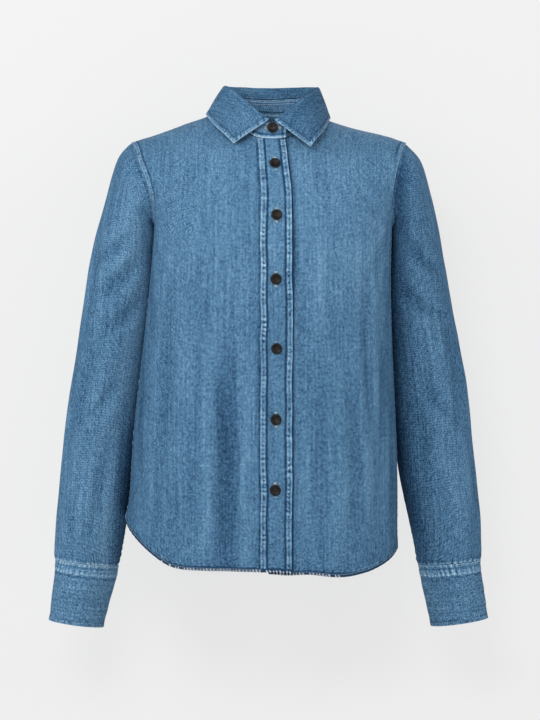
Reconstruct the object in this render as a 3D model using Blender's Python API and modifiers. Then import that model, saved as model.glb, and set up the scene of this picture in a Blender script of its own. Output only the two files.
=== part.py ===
"""A women's denim shirt, buttoned and filled out as it is worn, as one solid for each sewn piece.

Metres, +Z up. The front faces -Y, and "left" and "right" are the wearer's own, so the wearer's
right side lies at -X. The origin is at the middle of the base of the neck, where it is worn.
"""

import math

import bmesh
import bpy
from mathutils import Matrix, Vector

# Cloth and seams
CLOTH = 0.0012            # one layer of denim
DOUBLED = 0.0018          # collar, stand, cuffs and placket: two layers
SEAM_GAP = 0.0010         # between the middles of two panels' edges, 0.3 mm or more at the corners
LAY_GAP = 0.0005          # between a panel and what lies on it
LAY_BEND = 0.0003         # and this much more where both bend over a fold
SLEEVE_CLEARANCE = 0.0036  # between a sleeve and the body beside it
SLEEVE_SEAM_OUT = 0.0020  # from the armhole's edge out to the sleeve's, sideways
SLEEVE_SEAM_DOWN = 0.0006

# Body
ROUND = 2.5               # exponent of the body's oval section
RIDGE_Y = 0.004           # the shoulder seam lies this far behind the origin
FRONT_FALL = 0.150        # height over which the front rounds over to the shoulder seam
BACK_FALL = 0.120
FLANK_START = 0.080       # the sides come forward over this distance from the middle
FOLD_CORE = 1.6           # how steep a fold's sides are
FOLD_FOOT = 1.6           # how far past its full height a fold keeps its slant
UNDERARM_Z = -0.140
YOKE_SEAM_Z = -0.085
NECK_HALF_WIDTH = 0.066
NECK_PEAK = 0.024         # how far the shoulder slope would rise again inside the neck
NECK_X = 0.002            # the neck's middle
NECK_FRONT_Y = -0.080
NECK_PIT_Z = -0.0310
NECK_BACK_Y = 0.056
NECK_REACH = 0.100        # the neckline lies no further below the shoulder seam than this
NECK_FLAT = 50.0          # degrees over which the neckline rises from its lowest point
NECK_UNDERLAP = 0.0012    # how much deeper the left front lies under the right at the neck
UNDERLAP_Z = -0.070        # the height where that starts
UNDERLAP_RISE = 0.030
UNDERLAP_EDGE = 0.002     # the left front lies under this far past the placket's free edge
UNDERLAP_REACH = 0.020    # and comes level with the right one over this width

# Grid of each panel
BODY_ROWS = 13            # from hem to underarm
ARM_ROWS = 10             # from underarm to shoulder
PIT_ROW = 6               # of the rows above the underarm, the one at the pit of the neck
CLOSURE_STEPS = 4         # columns across the placket
SIDE_COLUMNS = 11
BACK_COLUMNS = 20
YOKE_ARM_STEPS = 3
YOKE_BACK_STEPS = 14
YOKE_ROWS = 4
ROW_STEP = 0.7            # share of the way that each round of levelling moves a row's points
BACK_TOP_ROWS = 3         # from underarm to the yoke's seam
SLEEVE_POINTS = 22
NECK_STEPS = 32
LEAF_DOWN_STEPS = 4

# Collar
STAND_HEIGHT = 0.0220     # at the back
STAND_LEVELLING = 0.055   # its upper edge turns level at the back, against the shoulders' tilt
STAND_FRONT_HEIGHT = 0.0210
STAND_SEAT = 0.0010       # the stand's lower edge above the neckline
STAND_SEAT_MORE = 0.0011  # and this much more where the neckline slants
STAND_MIDDLE_Y = -0.010   # towards which its upper edge is drawn in
STAND_LEAN = 0.05         # share by which its upper edge is drawn in
STAND_LAP = 19.0          # degrees past the middle that the upper end laps
STAND_UNDERLAP = 8.0      # degrees past the middle of the lower end
STAND_EASE = 60.0         # degrees over which each end moves to its own layer
STAND_LAYER = (DOUBLED + LAY_GAP) / 2 + LAY_BEND  # half the distance between the lapped ends
ROLL_OUT = 0.0048         # from the stand's line out to the leaf's outer side
ROLL_INNER = 0.60         # the roll's inner side by share of its rise, its crown by share of its
ROLL_CROWN = 0.45         # reach, and its outer side by share of its rise
ROLL_OUTER = 0.72
ROLL_LEAST = 0.0022       # the least rise of the roll over the leaf's seam
LEAF_SEAM = 0.0012        # between the stand's upper edge and the leaf's lower one
LEAF_CROWN = 0.0012       # how far the leaf bows out between roll and edge
LEAF_ABOVE = 0.020        # within this of the shoulder seam, the leaf is cleared upwards
LEAF_CLEARANCE = 0.0038   # between the leaf and the shoulders

# Buttons
BUTTON_RADIUS = 0.0072
BUTTON_THICKNESS = 0.0026
BUTTON_GAP = 0.0006
BUTTON_HOLE_RADIUS = 0.0008
BUTTON_HOLE_PITCH = 0.0014
BUTTON_SEGMENTS = 20

DENIM = (0.095, 0.190, 0.320)
DENIM_DARK = (0.075, 0.150, 0.260)
BUTTON_BROWN = (0.022, 0.013, 0.010)


def table(names, *rows):
    """The columns of a table, by name."""
    return {name: [row[i] for row in rows] for i, name in enumerate(names.split())}


# Sections of the body by height: half widths of the wearer's right and left half, how far the front
# and the back stand out, and where on each side the section is widest.
BODY = table(
    "z         right   left    front    back    right_y  left_y",
    (-0.6200, 0.2000, 0.1715, -0.1310, 0.1180, -0.005, -0.010),
    (-0.5400, 0.1950, 0.1702, -0.1290, 0.1160, -0.005, -0.010),
    (-0.5080, 0.1885, 0.1705, -0.1280, 0.1130, -0.005, -0.010),
    (-0.4310, 0.1836, 0.1690, -0.1260, 0.1080, -0.008, -0.012),
    (-0.3620, 0.1765, 0.1658, -0.1250, 0.1030, -0.010, -0.014),
    (-0.2900, 0.1680, 0.1625, -0.1270, 0.1030, -0.012, -0.018),
    (-0.2240, 0.1607, 0.1607, -0.1300, 0.1090, -0.016, -0.024),
    (-0.1730, 0.1562, 0.1608, -0.1290, 0.1150, -0.020, -0.032),
    (-0.1400, 0.1540, 0.1622, -0.1240, 0.1170, -0.022, -0.036),
    (-0.1130, 0.1630, 0.1660, -0.1180, 0.1160, -0.024, -0.038),
    (-0.0880, 0.1900, 0.1780, -0.1120, 0.1140, -0.026, -0.038),
    (-0.0600, 0.2300, 0.1980, -0.1060, 0.1100, -0.024, -0.032),
    (-0.0200, 0.2600, 0.2300, -0.0950, 0.1020, -0.020, -0.024),
    (0.0500, 0.2700, 0.2500, -0.0860, 0.0840, -0.016, -0.016),
)

# The shoulder seam's height by distance from the middle, on each side.
SHOULDER = table(
    "x         right    left",
    (0.0660, 0.0140, 0.0060),
    (0.0850, 0.0070, -0.0005),
    (0.1150, -0.0038, -0.0100),
    (0.1430, -0.0140, -0.0160),
    (0.1680, -0.0225, -0.0225),
    (0.1870, -0.0285, -0.0310),
)

# The armhole seam from the underarm, 0, to the end of the shoulder, 1.
ARMHOLE = table(
    "at     right_x  right_z   left_x  left_z",
    (0.00, 0.1540, -0.1400, 0.1622, -0.1400),
    (0.12, 0.1540, -0.1290, 0.1622, -0.1290),
    (0.30, 0.1550, -0.1110, 0.1625, -0.1110),
    (0.52, 0.1612, -0.0870, 0.1650, -0.0880),
    (0.76, 0.1730, -0.0600, 0.1705, -0.0610),
    (1.00, 0.1865, -0.0285, 0.1835, -0.0305),
)

# The hem's height by angle round from the middle of the front, 0, to the side seam, 90.
FRONT_HEM = table(
    "angle  right    left",
    (-14, -0.5985, -0.5985),
    (0.0, -0.5965, -0.5995),
    (12., -0.5960, -0.6020),
    (25., -0.5960, -0.6040),
    (38., -0.5905, -0.6015),
    (48., -0.5730, -0.5965),
    (59., -0.5600, -0.5885),
    (70., -0.5475, -0.5800),
    (80., -0.5370, -0.5730),
    (90., -0.5330, -0.5690),
)
BACK_HEM = table(
    "angle  right    left",
    (0.0, -0.6080, -0.6080),
    (25., -0.6070, -0.6075),
    (45., -0.5920, -0.6010),
    (60., -0.5690, -0.5880),
    (75., -0.5430, -0.5740),
    (90., -0.5330, -0.5690),
)

# The placket's two edges by height.
PLACKET = table(
    "z        right_x  left_x",
    (-0.6050, -0.0118, 0.0280),
    (-0.2400, -0.0118, 0.0286),
    (-0.1050, -0.0118, 0.0274),
    (-0.0600, -0.0142, 0.0226),
    (-0.0280, -0.0160, 0.0190),
)

# The body's largest folds: the middle of each by angle round the section at its top and its foot,
# half its width in degrees, the heights where it starts and is full, and how far it lies in.
FOLDS = table(
    "face  top_angle  foot_angle  half  start_z  full_z   depth",
    (-1., -11.0, -14.0, 6.0, -0.170, -0.330, 0.0038),
    (-1., -47.0, -40.0, 7.0, -0.180, -0.420, 0.0028),
    (-1., 45.0, 51.0, 5.5, -0.190, -0.330, 0.0034),
    (-1., 66.0, 70.0, 6.0, -0.170, -0.300, 0.0036),
    (1.0, -30.0, -34.0, 8.0, -0.150, -0.360, 0.0042),
    (1.0, 6.00, 3.00, 7.0, -0.230, -0.450, 0.0030),
    (1.0, 37.0, 42.0, 8.0, -0.130, -0.330, 0.0045),
)

# Heights of the buttons down the placket, and their places across it.
FRONT_BUTTONS = table(
    "z         x",
    (-0.0645, 0.0066),
    (-0.1330, 0.0086),
    (-0.2165, 0.0078),
    (-0.3066, 0.0086),
    (-0.3985, 0.0078),
    (-0.4900, 0.0068),
)
STAND_BUTTON_AT = (0.0035, -0.0155)

# The wearer's right sleeve and left sleeve: the outer and the inner edge of each section, and the
# middle and half depth of the section from front to back.
RIGHT_SLEEVE = table(
    "outer_x   outer_z  inner_x  inner_z  mid_y  half_y",
    (-0.1985, -0.0400, -0.1565, -0.1415, -0.001, 0.0660),
    (-0.2075, -0.0540, -0.1555, -0.1500, 0.003, 0.0660),
    (-0.2152, -0.0770, -0.1540, -0.1590, 0.008, 0.0650),
    (-0.2217, -0.1000, -0.1525, -0.1700, 0.013, 0.0640),
    (-0.2312, -0.1350, -0.1500, -0.1900, 0.019, 0.0625),
    (-0.2417, -0.1750, -0.1480, -0.2150, 0.026, 0.0610),
    (-0.2511, -0.2270, -0.1520, -0.2500, 0.030, 0.0590),
    (-0.2611, -0.2940, -0.1600, -0.3100, 0.034, 0.0560),
    (-0.2715, -0.3570, -0.1700, -0.3680, 0.036, 0.0540),
    (-0.2788, -0.4100, -0.1800, -0.4210, 0.036, 0.0520),
    (-0.2853, -0.4770, -0.1885, -0.4880, 0.034, 0.0490),
    (-0.2901, -0.5300, -0.1950, -0.5390, 0.030, 0.0465),
    (-0.2918, -0.5640, -0.2000, -0.5700, 0.027, 0.0445),
    (-0.2917, -0.5905, -0.2078, -0.6000, 0.025, 0.0400),
)
LEFT_SLEEVE = table(
    "outer_x  outer_z  inner_x  inner_z  mid_y  half_y",
    (0.1940, -0.0410, 0.1650, -0.1415, -0.007, 0.0560),
    (0.2045, -0.0530, 0.1645, -0.1500, -0.002, 0.0580),
    (0.2120, -0.0770, 0.1630, -0.1590, 0.004, 0.0600),
    (0.2185, -0.1030, 0.1610, -0.1700, 0.010, 0.0610),
    (0.2269, -0.1350, 0.1580, -0.1900, 0.017, 0.0615),
    (0.2344, -0.1720, 0.1560, -0.2150, 0.026, 0.0610),
    (0.2444, -0.2270, 0.1560, -0.2500, 0.030, 0.0590),
    (0.2582, -0.2940, 0.1590, -0.3080, 0.034, 0.0560),
    (0.2689, -0.3570, 0.1630, -0.3680, 0.036, 0.0540),
    (0.2732, -0.4100, 0.1680, -0.4200, 0.036, 0.0520),
    (0.2799, -0.4770, 0.1780, -0.4870, 0.034, 0.0490),
    (0.2859, -0.5300, 0.1895, -0.5370, 0.030, 0.0465),
    (0.2871, -0.5640, 0.1960, -0.5690, 0.027, 0.0445),
    (0.2856, -0.5915, 0.2030, -0.5985, 0.025, 0.0400),
)
RIGHT_CUFF = table(
    "outer_x   outer_z  inner_x  inner_z  mid_y  half_y",
    (-0.2916, -0.5912, -0.2075, -0.6008, 0.025, 0.0405),
    (-0.2933, -0.6120, -0.2105, -0.6210, 0.024, 0.0385),
    (-0.2963, -0.6400, -0.2185, -0.6490, 0.022, 0.0350),
    (-0.2995, -0.6735, -0.2265, -0.6835, 0.020, 0.0325),
)
LEFT_CUFF = table(
    "outer_x  outer_z  inner_x  inner_z  mid_y  half_y",
    (0.2856, -0.5922, 0.2028, -0.5993, 0.025, 0.0405),
    (0.2875, -0.6120, 0.2060, -0.6210, 0.024, 0.0385),
    (0.2915, -0.6400, 0.2115, -0.6490, 0.022, 0.0350),
    (0.2955, -0.6710, 0.2188, -0.6820, 0.020, 0.0325),
)
CUFF_BUTTON_ANGLE = 235.0  # round the cuff from its outer edge by way of the front
CUFF_BUTTON_AT = 0.55      # down the cuff

# The collar's leaf by angle round the neck from the middle of the front, 0, to the back, 180: the
# height of its roll, and the place of its outer edge.
RIGHT_LEAF = table(
    "angle  roll_z   edge_x   edge_y   edge_z",
    (4.00, -0.0055, -0.0480, -0.0900, -0.0370),
    (20.0, 0.0100, -0.0535, -0.0900, -0.0310),
    (38.0, 0.0265, -0.0640, -0.0760, -0.0200),
    (60.0, 0.0420, -0.0755, -0.0470, -0.0070),
    (85.0, 0.0485, -0.0850, -0.0100, 0.0085),
    (112., 0.0510, -0.0830, 0.0360, 0.0110),
    (140., 0.0525, -0.0600, 0.0680, 0.0080),
    (180., 0.0530, 0.0000, 0.0830, 0.0050),
)
LEFT_LEAF = table(
    "angle  roll_z   edge_x  edge_y   edge_z",
    (4.00, -0.0055, 0.0535, -0.0920, -0.0420),
    (20.0, 0.0100, 0.0580, -0.0900, -0.0340),
    (38.0, 0.0265, 0.0655, -0.0780, -0.0250),
    (60.0, 0.0420, 0.0735, -0.0490, -0.0120),
    (85.0, 0.0475, 0.0795, -0.0120, 0.0030),
    (112., 0.0505, 0.0790, 0.0340, 0.0070),
    (140., 0.0525, 0.0590, 0.0680, 0.0070),
    (180., 0.0530, 0.0000, 0.0830, 0.0050),
)

# ---------------------------------------------------------------- maths

def smooth(xs, ys, x):
    """The value at x of a smooth curve through the points of two columns."""
    if xs[0] > xs[-1]:
        xs, ys = xs[::-1], ys[::-1]
    if x <= xs[0]:
        return ys[0]
    if x >= xs[-1]:
        return ys[-1]
    i = max(k for k in range(len(xs) - 1) if xs[k] <= x)

    def slope(k):
        a, b = max(k - 1, 0), min(k + 1, len(xs) - 1)
        return (ys[b] - ys[a]) / (xs[b] - xs[a])

    width = xs[i + 1] - xs[i]
    t = (x - xs[i]) / width
    rise = slope(i) * width
    fall = slope(i + 1) * width
    return (
        (2 * t**3 - 3 * t**2 + 1) * ys[i]
        + (t**3 - 2 * t**2 + t) * rise
        + (3 * t**2 - 2 * t**3) * ys[i + 1]
        + (t**3 - t**2) * fall
    )


def mix(a, b, t):
    return a + (b - a) * t


def ease(t):
    t = min(max(t, 0.0), 1.0)
    return t * t * (3 - 2 * t)


def side_name(x):
    return "right" if x < 0 else "left"


# ---------------------------------------------------------------- the body's form

def shoulder_z(x):
    """The height of the shoulder seam, drawn on inside the neck as a rounded peak."""
    side = SHOULDER[side_name(x)]
    if abs(x) >= NECK_HALF_WIDTH:
        return smooth(SHOULDER["x"], side, abs(x))
    peak = (SHOULDER["right"][0] + SHOULDER["left"][0]) / 2 + NECK_PEAK
    return mix(peak, side[0], (abs(x) / NECK_HALF_WIDTH) ** 2)


def half_width(x, z):
    return smooth(BODY["z"], BODY[side_name(x)], z)


def angle_of(x, z):
    """The angle round the body's section, in degrees, with the sign of x."""
    share = min(abs(x) / half_width(x, z), 1.0)
    return math.copysign(math.degrees(math.asin(share ** (ROUND / 2))), x)


def fold_depth(angle, z, face):
    """How far the folds carry the cloth in at an angle round the body and a height."""
    depth = 0.0
    for i, side in enumerate(FOLDS["face"]):
        top, foot = FOLDS["start_z"][i], FOLDS["full_z"][i]
        down = (top - z) / (top - foot)
        middle = mix(FOLDS["top_angle"][i], FOLDS["foot_angle"][i], min(max(down, 0.0), FOLD_FOOT))
        across = (angle - middle) / FOLDS["half"][i]
        if side == face and abs(across) < 2:
            depth += FOLDS["depth"][i] * ease(down) * math.exp(-(across**2) * FOLD_CORE)
    return depth


def rounded(drop, fall):
    """How far the body has rounded out, from 0 at the shoulder seam to 1, a drop below it."""
    return math.sqrt(1 - (1 - min(max(drop, 0.0) / fall, 1.0)) ** 2)


def body_y(x, z, face):
    """Where the body's cloth lies at x and z, on its front, face -1, or its back, face +1."""
    reach = smooth(BODY["z"], BODY["front" if face < 0 else "back"], z)
    widest = smooth(BODY["z"], BODY[side_name(x) + "_y"], z) * ease(abs(x) / FLANK_START)
    share = min(abs(x) / half_width(x, z), 1.0)
    stand_out = (reach - widest) * (1 - share**ROUND) ** (1 / ROUND)
    stand_out -= face * fold_depth(angle_of(x, z), z, face)
    drop = shoulder_z(x) - z
    middle = RIDGE_Y + (widest - RIDGE_Y) * rounded(drop, BACK_FALL)
    return middle + face * SEAM_GAP / 2 + stand_out * rounded(drop, FRONT_FALL if face < 0 else BACK_FALL)


def x_of(angle, z):
    share = abs(math.sin(math.radians(angle))) ** (2 / ROUND)
    return math.copysign(share * half_width(angle, z), angle)


def neck_point(angle):
    """The neckline at an angle round from the middle of the front, positive to the wearer's left."""
    turn = math.radians(angle)
    x = NECK_X + (NECK_HALF_WIDTH - abs(NECK_X)) * math.sin(turn)
    face = -1 if math.cos(turn) > 0 else 1
    reach = NECK_FRONT_Y if face < 0 else NECK_BACK_Y
    y = RIDGE_Y + (reach - RIDGE_Y) * abs(math.cos(turn))
    high = shoulder_z(x)
    low = high - NECK_REACH
    for _ in range(30):
        middle = (high + low) / 2
        if abs(body_y(x, middle, face) - RIDGE_Y) < abs(y - RIDGE_Y):
            high = middle
        else:
            low = middle
    if face < 0:
        lowest = NECK_PIT_Z
        high = mix(lowest, high, ease(abs(math.sin(turn)) / math.sin(math.radians(NECK_FLAT))))
        y = body_y(x, high, face)
    return Vector((x, y, high))


def armhole(side, at):
    """x and z of the armhole seam, at 0 under the arm and 1 at the end of the shoulder."""
    x = smooth(ARMHOLE["at"], ARMHOLE[side + "_x"], at) * (-1 if side == "right" else 1)
    z = smooth(ARMHOLE["at"], ARMHOLE[side + "_z"], at)
    return x, mix(z, shoulder_z(x), ease((at - 0.8) / 0.2))


def on_body(x, z, face, out=0.0):
    return Vector((x, body_y(x, z, face) + face * out, z))


# ---------------------------------------------------------------- panels of the body

def row_of(start, end, shares):
    """x and z of a row's points between two ends, at shares of the angle, level with the shoulder."""
    (x0, z0), (x1, z1) = start, end
    angle0, angle1 = angle_of(x0, z0), angle_of(x1, z1)
    drop0, drop1 = shoulder_z(x0) - z0, shoulder_z(x1) - z1
    row = []
    for share in shares:
        angle, drop = mix(angle0, angle1, share), mix(drop0, drop1, share)
        z = mix(z0, z1, share)
        for _ in range(12):
            x = x_of(angle, z)
            z = mix(z, shoulder_z(x) - drop, ROW_STEP)
        row.append((x, z))
    row[0], row[-1] = start, end
    return row


def placket_x(z, share):
    """Across the placket at a height, from its free edge on the wearer's left, 0, to the other, 1."""
    edges = [smooth(PLACKET["z"], PLACKET[name], z) for name in ("left_x", "right_x")]
    return mix(edges[0], edges[1], share)


def closure_shares(side):
    """The columns across the placket, from a front's own edge: the left one starts one step in."""
    shares = [i / CLOSURE_STEPS for i in range(CLOSURE_STEPS + 1)]
    return shares if side == "right" else shares[-2::-1]


def front_rows(side):
    """x and z of one front's points, from hem to shoulder and from its own edge to its side.

    The columns across the placket stop at the pit of the neck, so above it they are None.
    """
    sign = -1 if side == "right" else 1
    closure = closure_shares(side)
    missing = [None] * (len(closure) - 1)
    shares = [i / SIDE_COLUMNS for i in range(SIDE_COLUMNS + 1)]
    turn = (placket_x(NECK_PIT_Z, closure[-1]) - NECK_X) / (NECK_HALF_WIDTH - abs(NECK_X))
    neck_start = math.degrees(math.asin(turn))

    upper = []
    for j in range(ARM_ROWS + 1):
        end = armhole(side, j / ARM_ROWS)
        if j <= PIT_ROW:
            z = mix(UNDERARM_Z, NECK_PIT_Z, j / PIT_ROW)
            across = [(placket_x(z, share), z) for share in closure]
            upper.append(across[:-1] + row_of(across[-1], end, shares))
        else:
            point = neck_point(mix(neck_start, sign * 89.9, (j - PIT_ROW) / (ARM_ROWS - PIT_ROW)))
            upper.append(missing + row_of((point.x, point.z), end, shares))

    lower = []
    for j in range(BODY_ROWS):
        row = []
        for i, (x, z) in enumerate(upper[0]):
            angle = angle_of(x, z)
            hem_z = smooth(FRONT_HEM["angle"], FRONT_HEM[side], angle * sign)
            z_row = mix(hem_z, z, j / BODY_ROWS)
            x_row = placket_x(z_row, closure[i]) if i < len(closure) else x_of(angle, z_row)
            row.append((x_row, z_row))
        lower.append(row)
    return lower + upper


def underlap(x, z):
    """How far the left front lies in, under the right one, and a little more at the neck."""
    edge = placket_x(z, 0)
    depth = CLOTH + LAY_GAP + NECK_UNDERLAP * ease((z - UNDERLAP_Z) / UNDERLAP_RISE)
    return depth * (1 - ease((x - edge - UNDERLAP_EDGE) / UNDERLAP_REACH))


def right_front():
    rows = [[at and on_body(*at, -1) for at in row] for row in front_rows("right")]
    return sheet("right_front", rows, CLOTH, flip=True)


def left_front():
    rows = [[at and on_body(*at, -1, -underlap(*at)) for at in row] for row in front_rows("left")]
    return sheet("left_front", rows, CLOTH)


def placket():
    """The strip on the right front's edge, from that panel's own points moved out."""
    out = CLOTH / 2 + LAY_GAP + LAY_BEND + DOUBLED / 2
    rows = front_rows("right")[: BODY_ROWS + PIT_ROW + 1]
    strip = [[on_body(x, z, -1, out) for x, z in row[: CLOSURE_STEPS + 1]] for row in rows]
    return sheet("placket", strip, DOUBLED, flip=True, colour=DENIM_DARK)


def armhole_share(side, z):
    """Where on the armhole seam a height is reached."""
    low, high = 0.0, 1.0
    for _ in range(30):
        middle = (low + high) / 2
        if armhole(side, middle)[1] < z:
            low = middle
        else:
            high = middle
    return low


def back():
    """From the hem up to the yoke's seam."""
    shares = [i / BACK_COLUMNS for i in range(BACK_COLUMNS + 1)]
    upper = []
    for j in range(BACK_TOP_ROWS + 1):
        ends = []
        for side in ("right", "left"):
            stop = armhole_share(side, YOKE_SEAM_Z - SEAM_GAP / 2)
            ends.append(armhole(side, stop * j / BACK_TOP_ROWS))
        angles = [angle_of(x, z) for x, z in ends]
        z_row = mix(UNDERARM_Z, YOKE_SEAM_Z - SEAM_GAP / 2, j / BACK_TOP_ROWS)
        row = [(x_of(mix(*angles, share), z_row), z_row) for share in shares]
        row[0], row[-1] = ends
        upper.append(row)
    rows = []
    for j in range(BODY_ROWS):
        row = []
        for x, z in upper[0]:
            angle = angle_of(x, z)
            low = smooth(BACK_HEM["angle"], BACK_HEM[side_name(x)], abs(angle))
            z_row = mix(low, z, j / BODY_ROWS)
            row.append((x_of(angle, z_row), z_row))
        rows.append(row)
    return sheet("back", [[on_body(x, z, 1) for x, z in row] for row in rows + upper], CLOTH, flip=True)


def yoke():
    """From the back of the neckline out to the shoulders, the armholes and the back's seam."""
    outer = []
    for side in ("right", "left"):
        stop = armhole_share(side, YOKE_SEAM_Z + SEAM_GAP / 2)
        leg = [armhole(side, mix(1, stop, i / YOKE_ARM_STEPS)) for i in range(YOKE_ARM_STEPS + 1)]
        outer.append(leg)
    right, left = outer
    angles = [angle_of(*right[-1]), angle_of(*left[-1])]
    seam_z = YOKE_SEAM_Z + SEAM_GAP / 2
    across = [
        (x_of(mix(*angles, i / YOKE_BACK_STEPS), seam_z), seam_z) for i in range(1, YOKE_BACK_STEPS)
    ]
    edge = right + across + left[::-1]
    steps = len(edge) - 1
    columns = []
    for i, (x1, z1) in enumerate(edge):
        point = neck_point(mix(-90.1, -269.9, i / steps))
        drop0, drop1 = shoulder_z(point.x) - point.z, shoulder_z(x1) - z1
        column = []
        for j in range(YOKE_ROWS + 1):
            x = mix(point.x, x1, j / YOKE_ROWS)
            z = shoulder_z(x) - mix(drop0, drop1, j / YOKE_ROWS)
            column.append(on_body(x, z, 1))
        columns.append(column)
    return sheet("yoke", columns, CLOTH)


# ---------------------------------------------------------------- sleeves and cuffs

def clear_of_body(point):
    """A sleeve's point moved out sideways until it is clear of the body beside it."""
    if point.z > UNDERARM_Z:
        return point
    face = -1 if point.y < 0 else 1
    side = side_name(point.x)
    reach = smooth(BODY["z"], BODY["front" if face < 0 else "back"], point.z)
    widest = smooth(BODY["z"], BODY[side + "_y"], point.z)
    share = min(abs((point.y - widest) / (reach - widest)), 1.0)
    limit = half_width(point.x, point.z) * (1 - share**ROUND) ** (1 / ROUND) + SLEEVE_CLEARANCE
    return Vector((math.copysign(max(abs(point.x), limit), point.x), point.y, point.z))


def ring(sections, k, clear=True):
    """One ring of a sleeve or cuff, from its outer edge by way of the front."""
    outer = Vector((sections["outer_x"][k], 0, sections["outer_z"][k]))
    inner = Vector((sections["inner_x"][k], 0, sections["inner_z"][k]))
    middle, reach = (outer + inner) / 2, (outer - inner) / 2
    points = []
    for i in range(SLEEVE_POINTS):
        turn = math.tau * i / SLEEVE_POINTS
        point = middle + reach * math.cos(turn)
        point.y = sections["mid_y"][k] - sections["half_y"][k] * math.sin(turn)
        points.append(clear_of_body(point) if clear else point)
    return points


def armhole_ring(side):
    """The sleeve's seam to the body, a little out from the body's own edge."""
    points = []
    for i in range(SLEEVE_POINTS):
        turn = math.tau * i / SLEEVE_POINTS
        at = (1 + math.cos(turn)) / 2
        x, z = armhole(side, at)
        face = -1 if math.sin(turn) >= 0 else 1
        out = math.copysign(SLEEVE_SEAM_OUT, x)
        points.append(Vector((x + out, body_y(x, z, face), z - SLEEVE_SEAM_DOWN)))
    return points


def sleeve(side, sections):
    rings = [armhole_ring(side)] + [ring(sections, k) for k in range(len(sections["mid_y"]))]
    return sheet(side + "_sleeve", rings, CLOTH, closed=True, flip=side == "left")


def cuff(side, sections):
    rings = [ring(sections, k, clear=False) for k in range(len(sections["mid_y"]))]
    return sheet(side + "_cuff", rings, DOUBLED, closed=True, flip=side == "left")


# ---------------------------------------------------------------- collar

def stand_foot(angle):
    slant = abs(math.sin(math.radians(2 * angle)))
    return neck_point(angle) + Vector((0, 0, STAND_SEAT + STAND_SEAT_MORE * slant))


def stand_top(angle):
    foot = stand_foot(angle)
    lean = Vector((-(foot.x - NECK_X), -(foot.y - STAND_MIDDLE_Y), 0)) * STAND_LEAN
    height = mix(STAND_FRONT_HEIGHT, STAND_HEIGHT, ease(abs(math.sin(math.radians(angle / 2))) * 2))
    level = STAND_LEVELLING * foot.x * ease((abs(angle) - 80) / 60)
    return foot + lean + Vector((0, 0, height + level))


def outward(angle):
    turn = math.radians(angle)
    return Vector((math.sin(turn), -math.cos(turn), 0))


def collar_stand():
    """A band round the neck whose wearer's right end laps over the left one at the front."""
    start, stop = STAND_LAP, -360.0 - STAND_UNDERLAP
    columns = []
    for i in range(NECK_STEPS + 1):
        angle = mix(start, stop, i / NECK_STEPS)
        over = 1 - ease((start - angle) / STAND_EASE)
        under = 1 - ease((angle - stop) / STAND_EASE)
        shift = outward(angle) * STAND_LAYER * (over - under)
        wrapped = angle if angle > -180 else angle + 360
        foot, top = stand_foot(wrapped), stand_top(wrapped)
        columns.append([foot.lerp(top, j / 2) + shift for j in range(3)])
    return sheet("collar_stand", columns, DOUBLED, flip=True)


def leaf_clear(point):
    """A point of the leaf moved up or out until it is clear of the shoulders."""
    ridge = shoulder_z(point.x)
    if abs(point.y - RIDGE_Y) < LEAF_ABOVE:
        return Vector((point.x, point.y, max(point.z, ridge + LEAF_CLEARANCE)))
    face = -1 if point.y < RIDGE_Y else 1
    limit = body_y(point.x, min(point.z, ridge), face) + face * LEAF_CLEARANCE
    y = min(point.y, limit) if face < 0 else max(point.y, limit)
    return Vector((point.x, y, point.z))


def leaf_column(side, angle):
    """From the stand's upper edge up to the roll, over it and down to the leaf's outer edge."""
    sections = RIGHT_LEAF if side == "right" else LEFT_LEAF
    sign = -1 if side == "right" else 1
    turned = sign * angle
    foot = stand_top(turned) + Vector((0, 0, LEAF_SEAM))
    roll_z = max(smooth(sections["angle"], sections["roll_z"], angle), foot.z + ROLL_LEAST)
    edge = Vector([smooth(sections["angle"], sections[name], angle)
                   for name in ("edge_x", "edge_y", "edge_z")])
    out = outward(turned)
    rise = roll_z - foot.z
    inner = foot + Vector((0, 0, rise * ROLL_INNER))
    top = foot + Vector((0, 0, rise)) + out * ROLL_OUT * ROLL_CROWN
    over = foot + Vector((0, 0, rise * ROLL_OUTER)) + out * ROLL_OUT
    column = [foot, inner, top, over]
    for j in range(1, LEAF_DOWN_STEPS + 1):
        share = j / LEAF_DOWN_STEPS
        point = over.lerp(edge, share) + out * LEAF_CROWN * math.sin(math.pi * share)
        column.append(leaf_clear(point))
    return column


def collar_leaf():
    first, last = RIGHT_LEAF["angle"][0], 180.0
    half = NECK_STEPS // 2
    columns = [leaf_column("right", mix(first, last, i / half)) for i in range(half + 1)]
    columns += [leaf_column("left", mix(last, first, i / half)) for i in range(1, half + 1)]
    return sheet("collar_leaf", columns, DOUBLED, flip=True)


# ---------------------------------------------------------------- buttons

def button_profile():
    """Half of the button's section, from the middle of its face round its rim to its back."""
    r, t = BUTTON_RADIUS, BUTTON_THICKNESS
    return (
        (0.0, t * 0.62),
        (r * 0.60, t * 0.62),
        (r * 0.74, t * 0.98),
        (r * 0.90, t * 0.90),
        (r * 1.00, t * 0.50),
        (r * 0.80, 0.0),
        (0.0, 0.0),
    )


def button_holes(name, place):
    """Four pins that cut the holes through a button."""
    bm = bmesh.new()
    for corner in range(4):
        turn = math.radians(45 + 90 * corner)
        middle = Vector((math.cos(turn), math.sin(turn), 0)) * BUTTON_HOLE_PITCH
        middle.z = BUTTON_THICKNESS / 2
        bmesh.ops.create_cone(
            bm, cap_ends=True, segments=8, radius1=BUTTON_HOLE_RADIUS,
            radius2=BUTTON_HOLE_RADIUS, depth=BUTTON_THICKNESS * 2,
            matrix=Matrix.Translation(middle),
        )
    cutter = new_object(name + "_holes", bm, BUTTON_BROWN, group=CUTTERS)
    cutter.matrix_world = place
    cutter.hide_render = True
    cutter.display_type = "WIRE"
    return cutter


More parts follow.
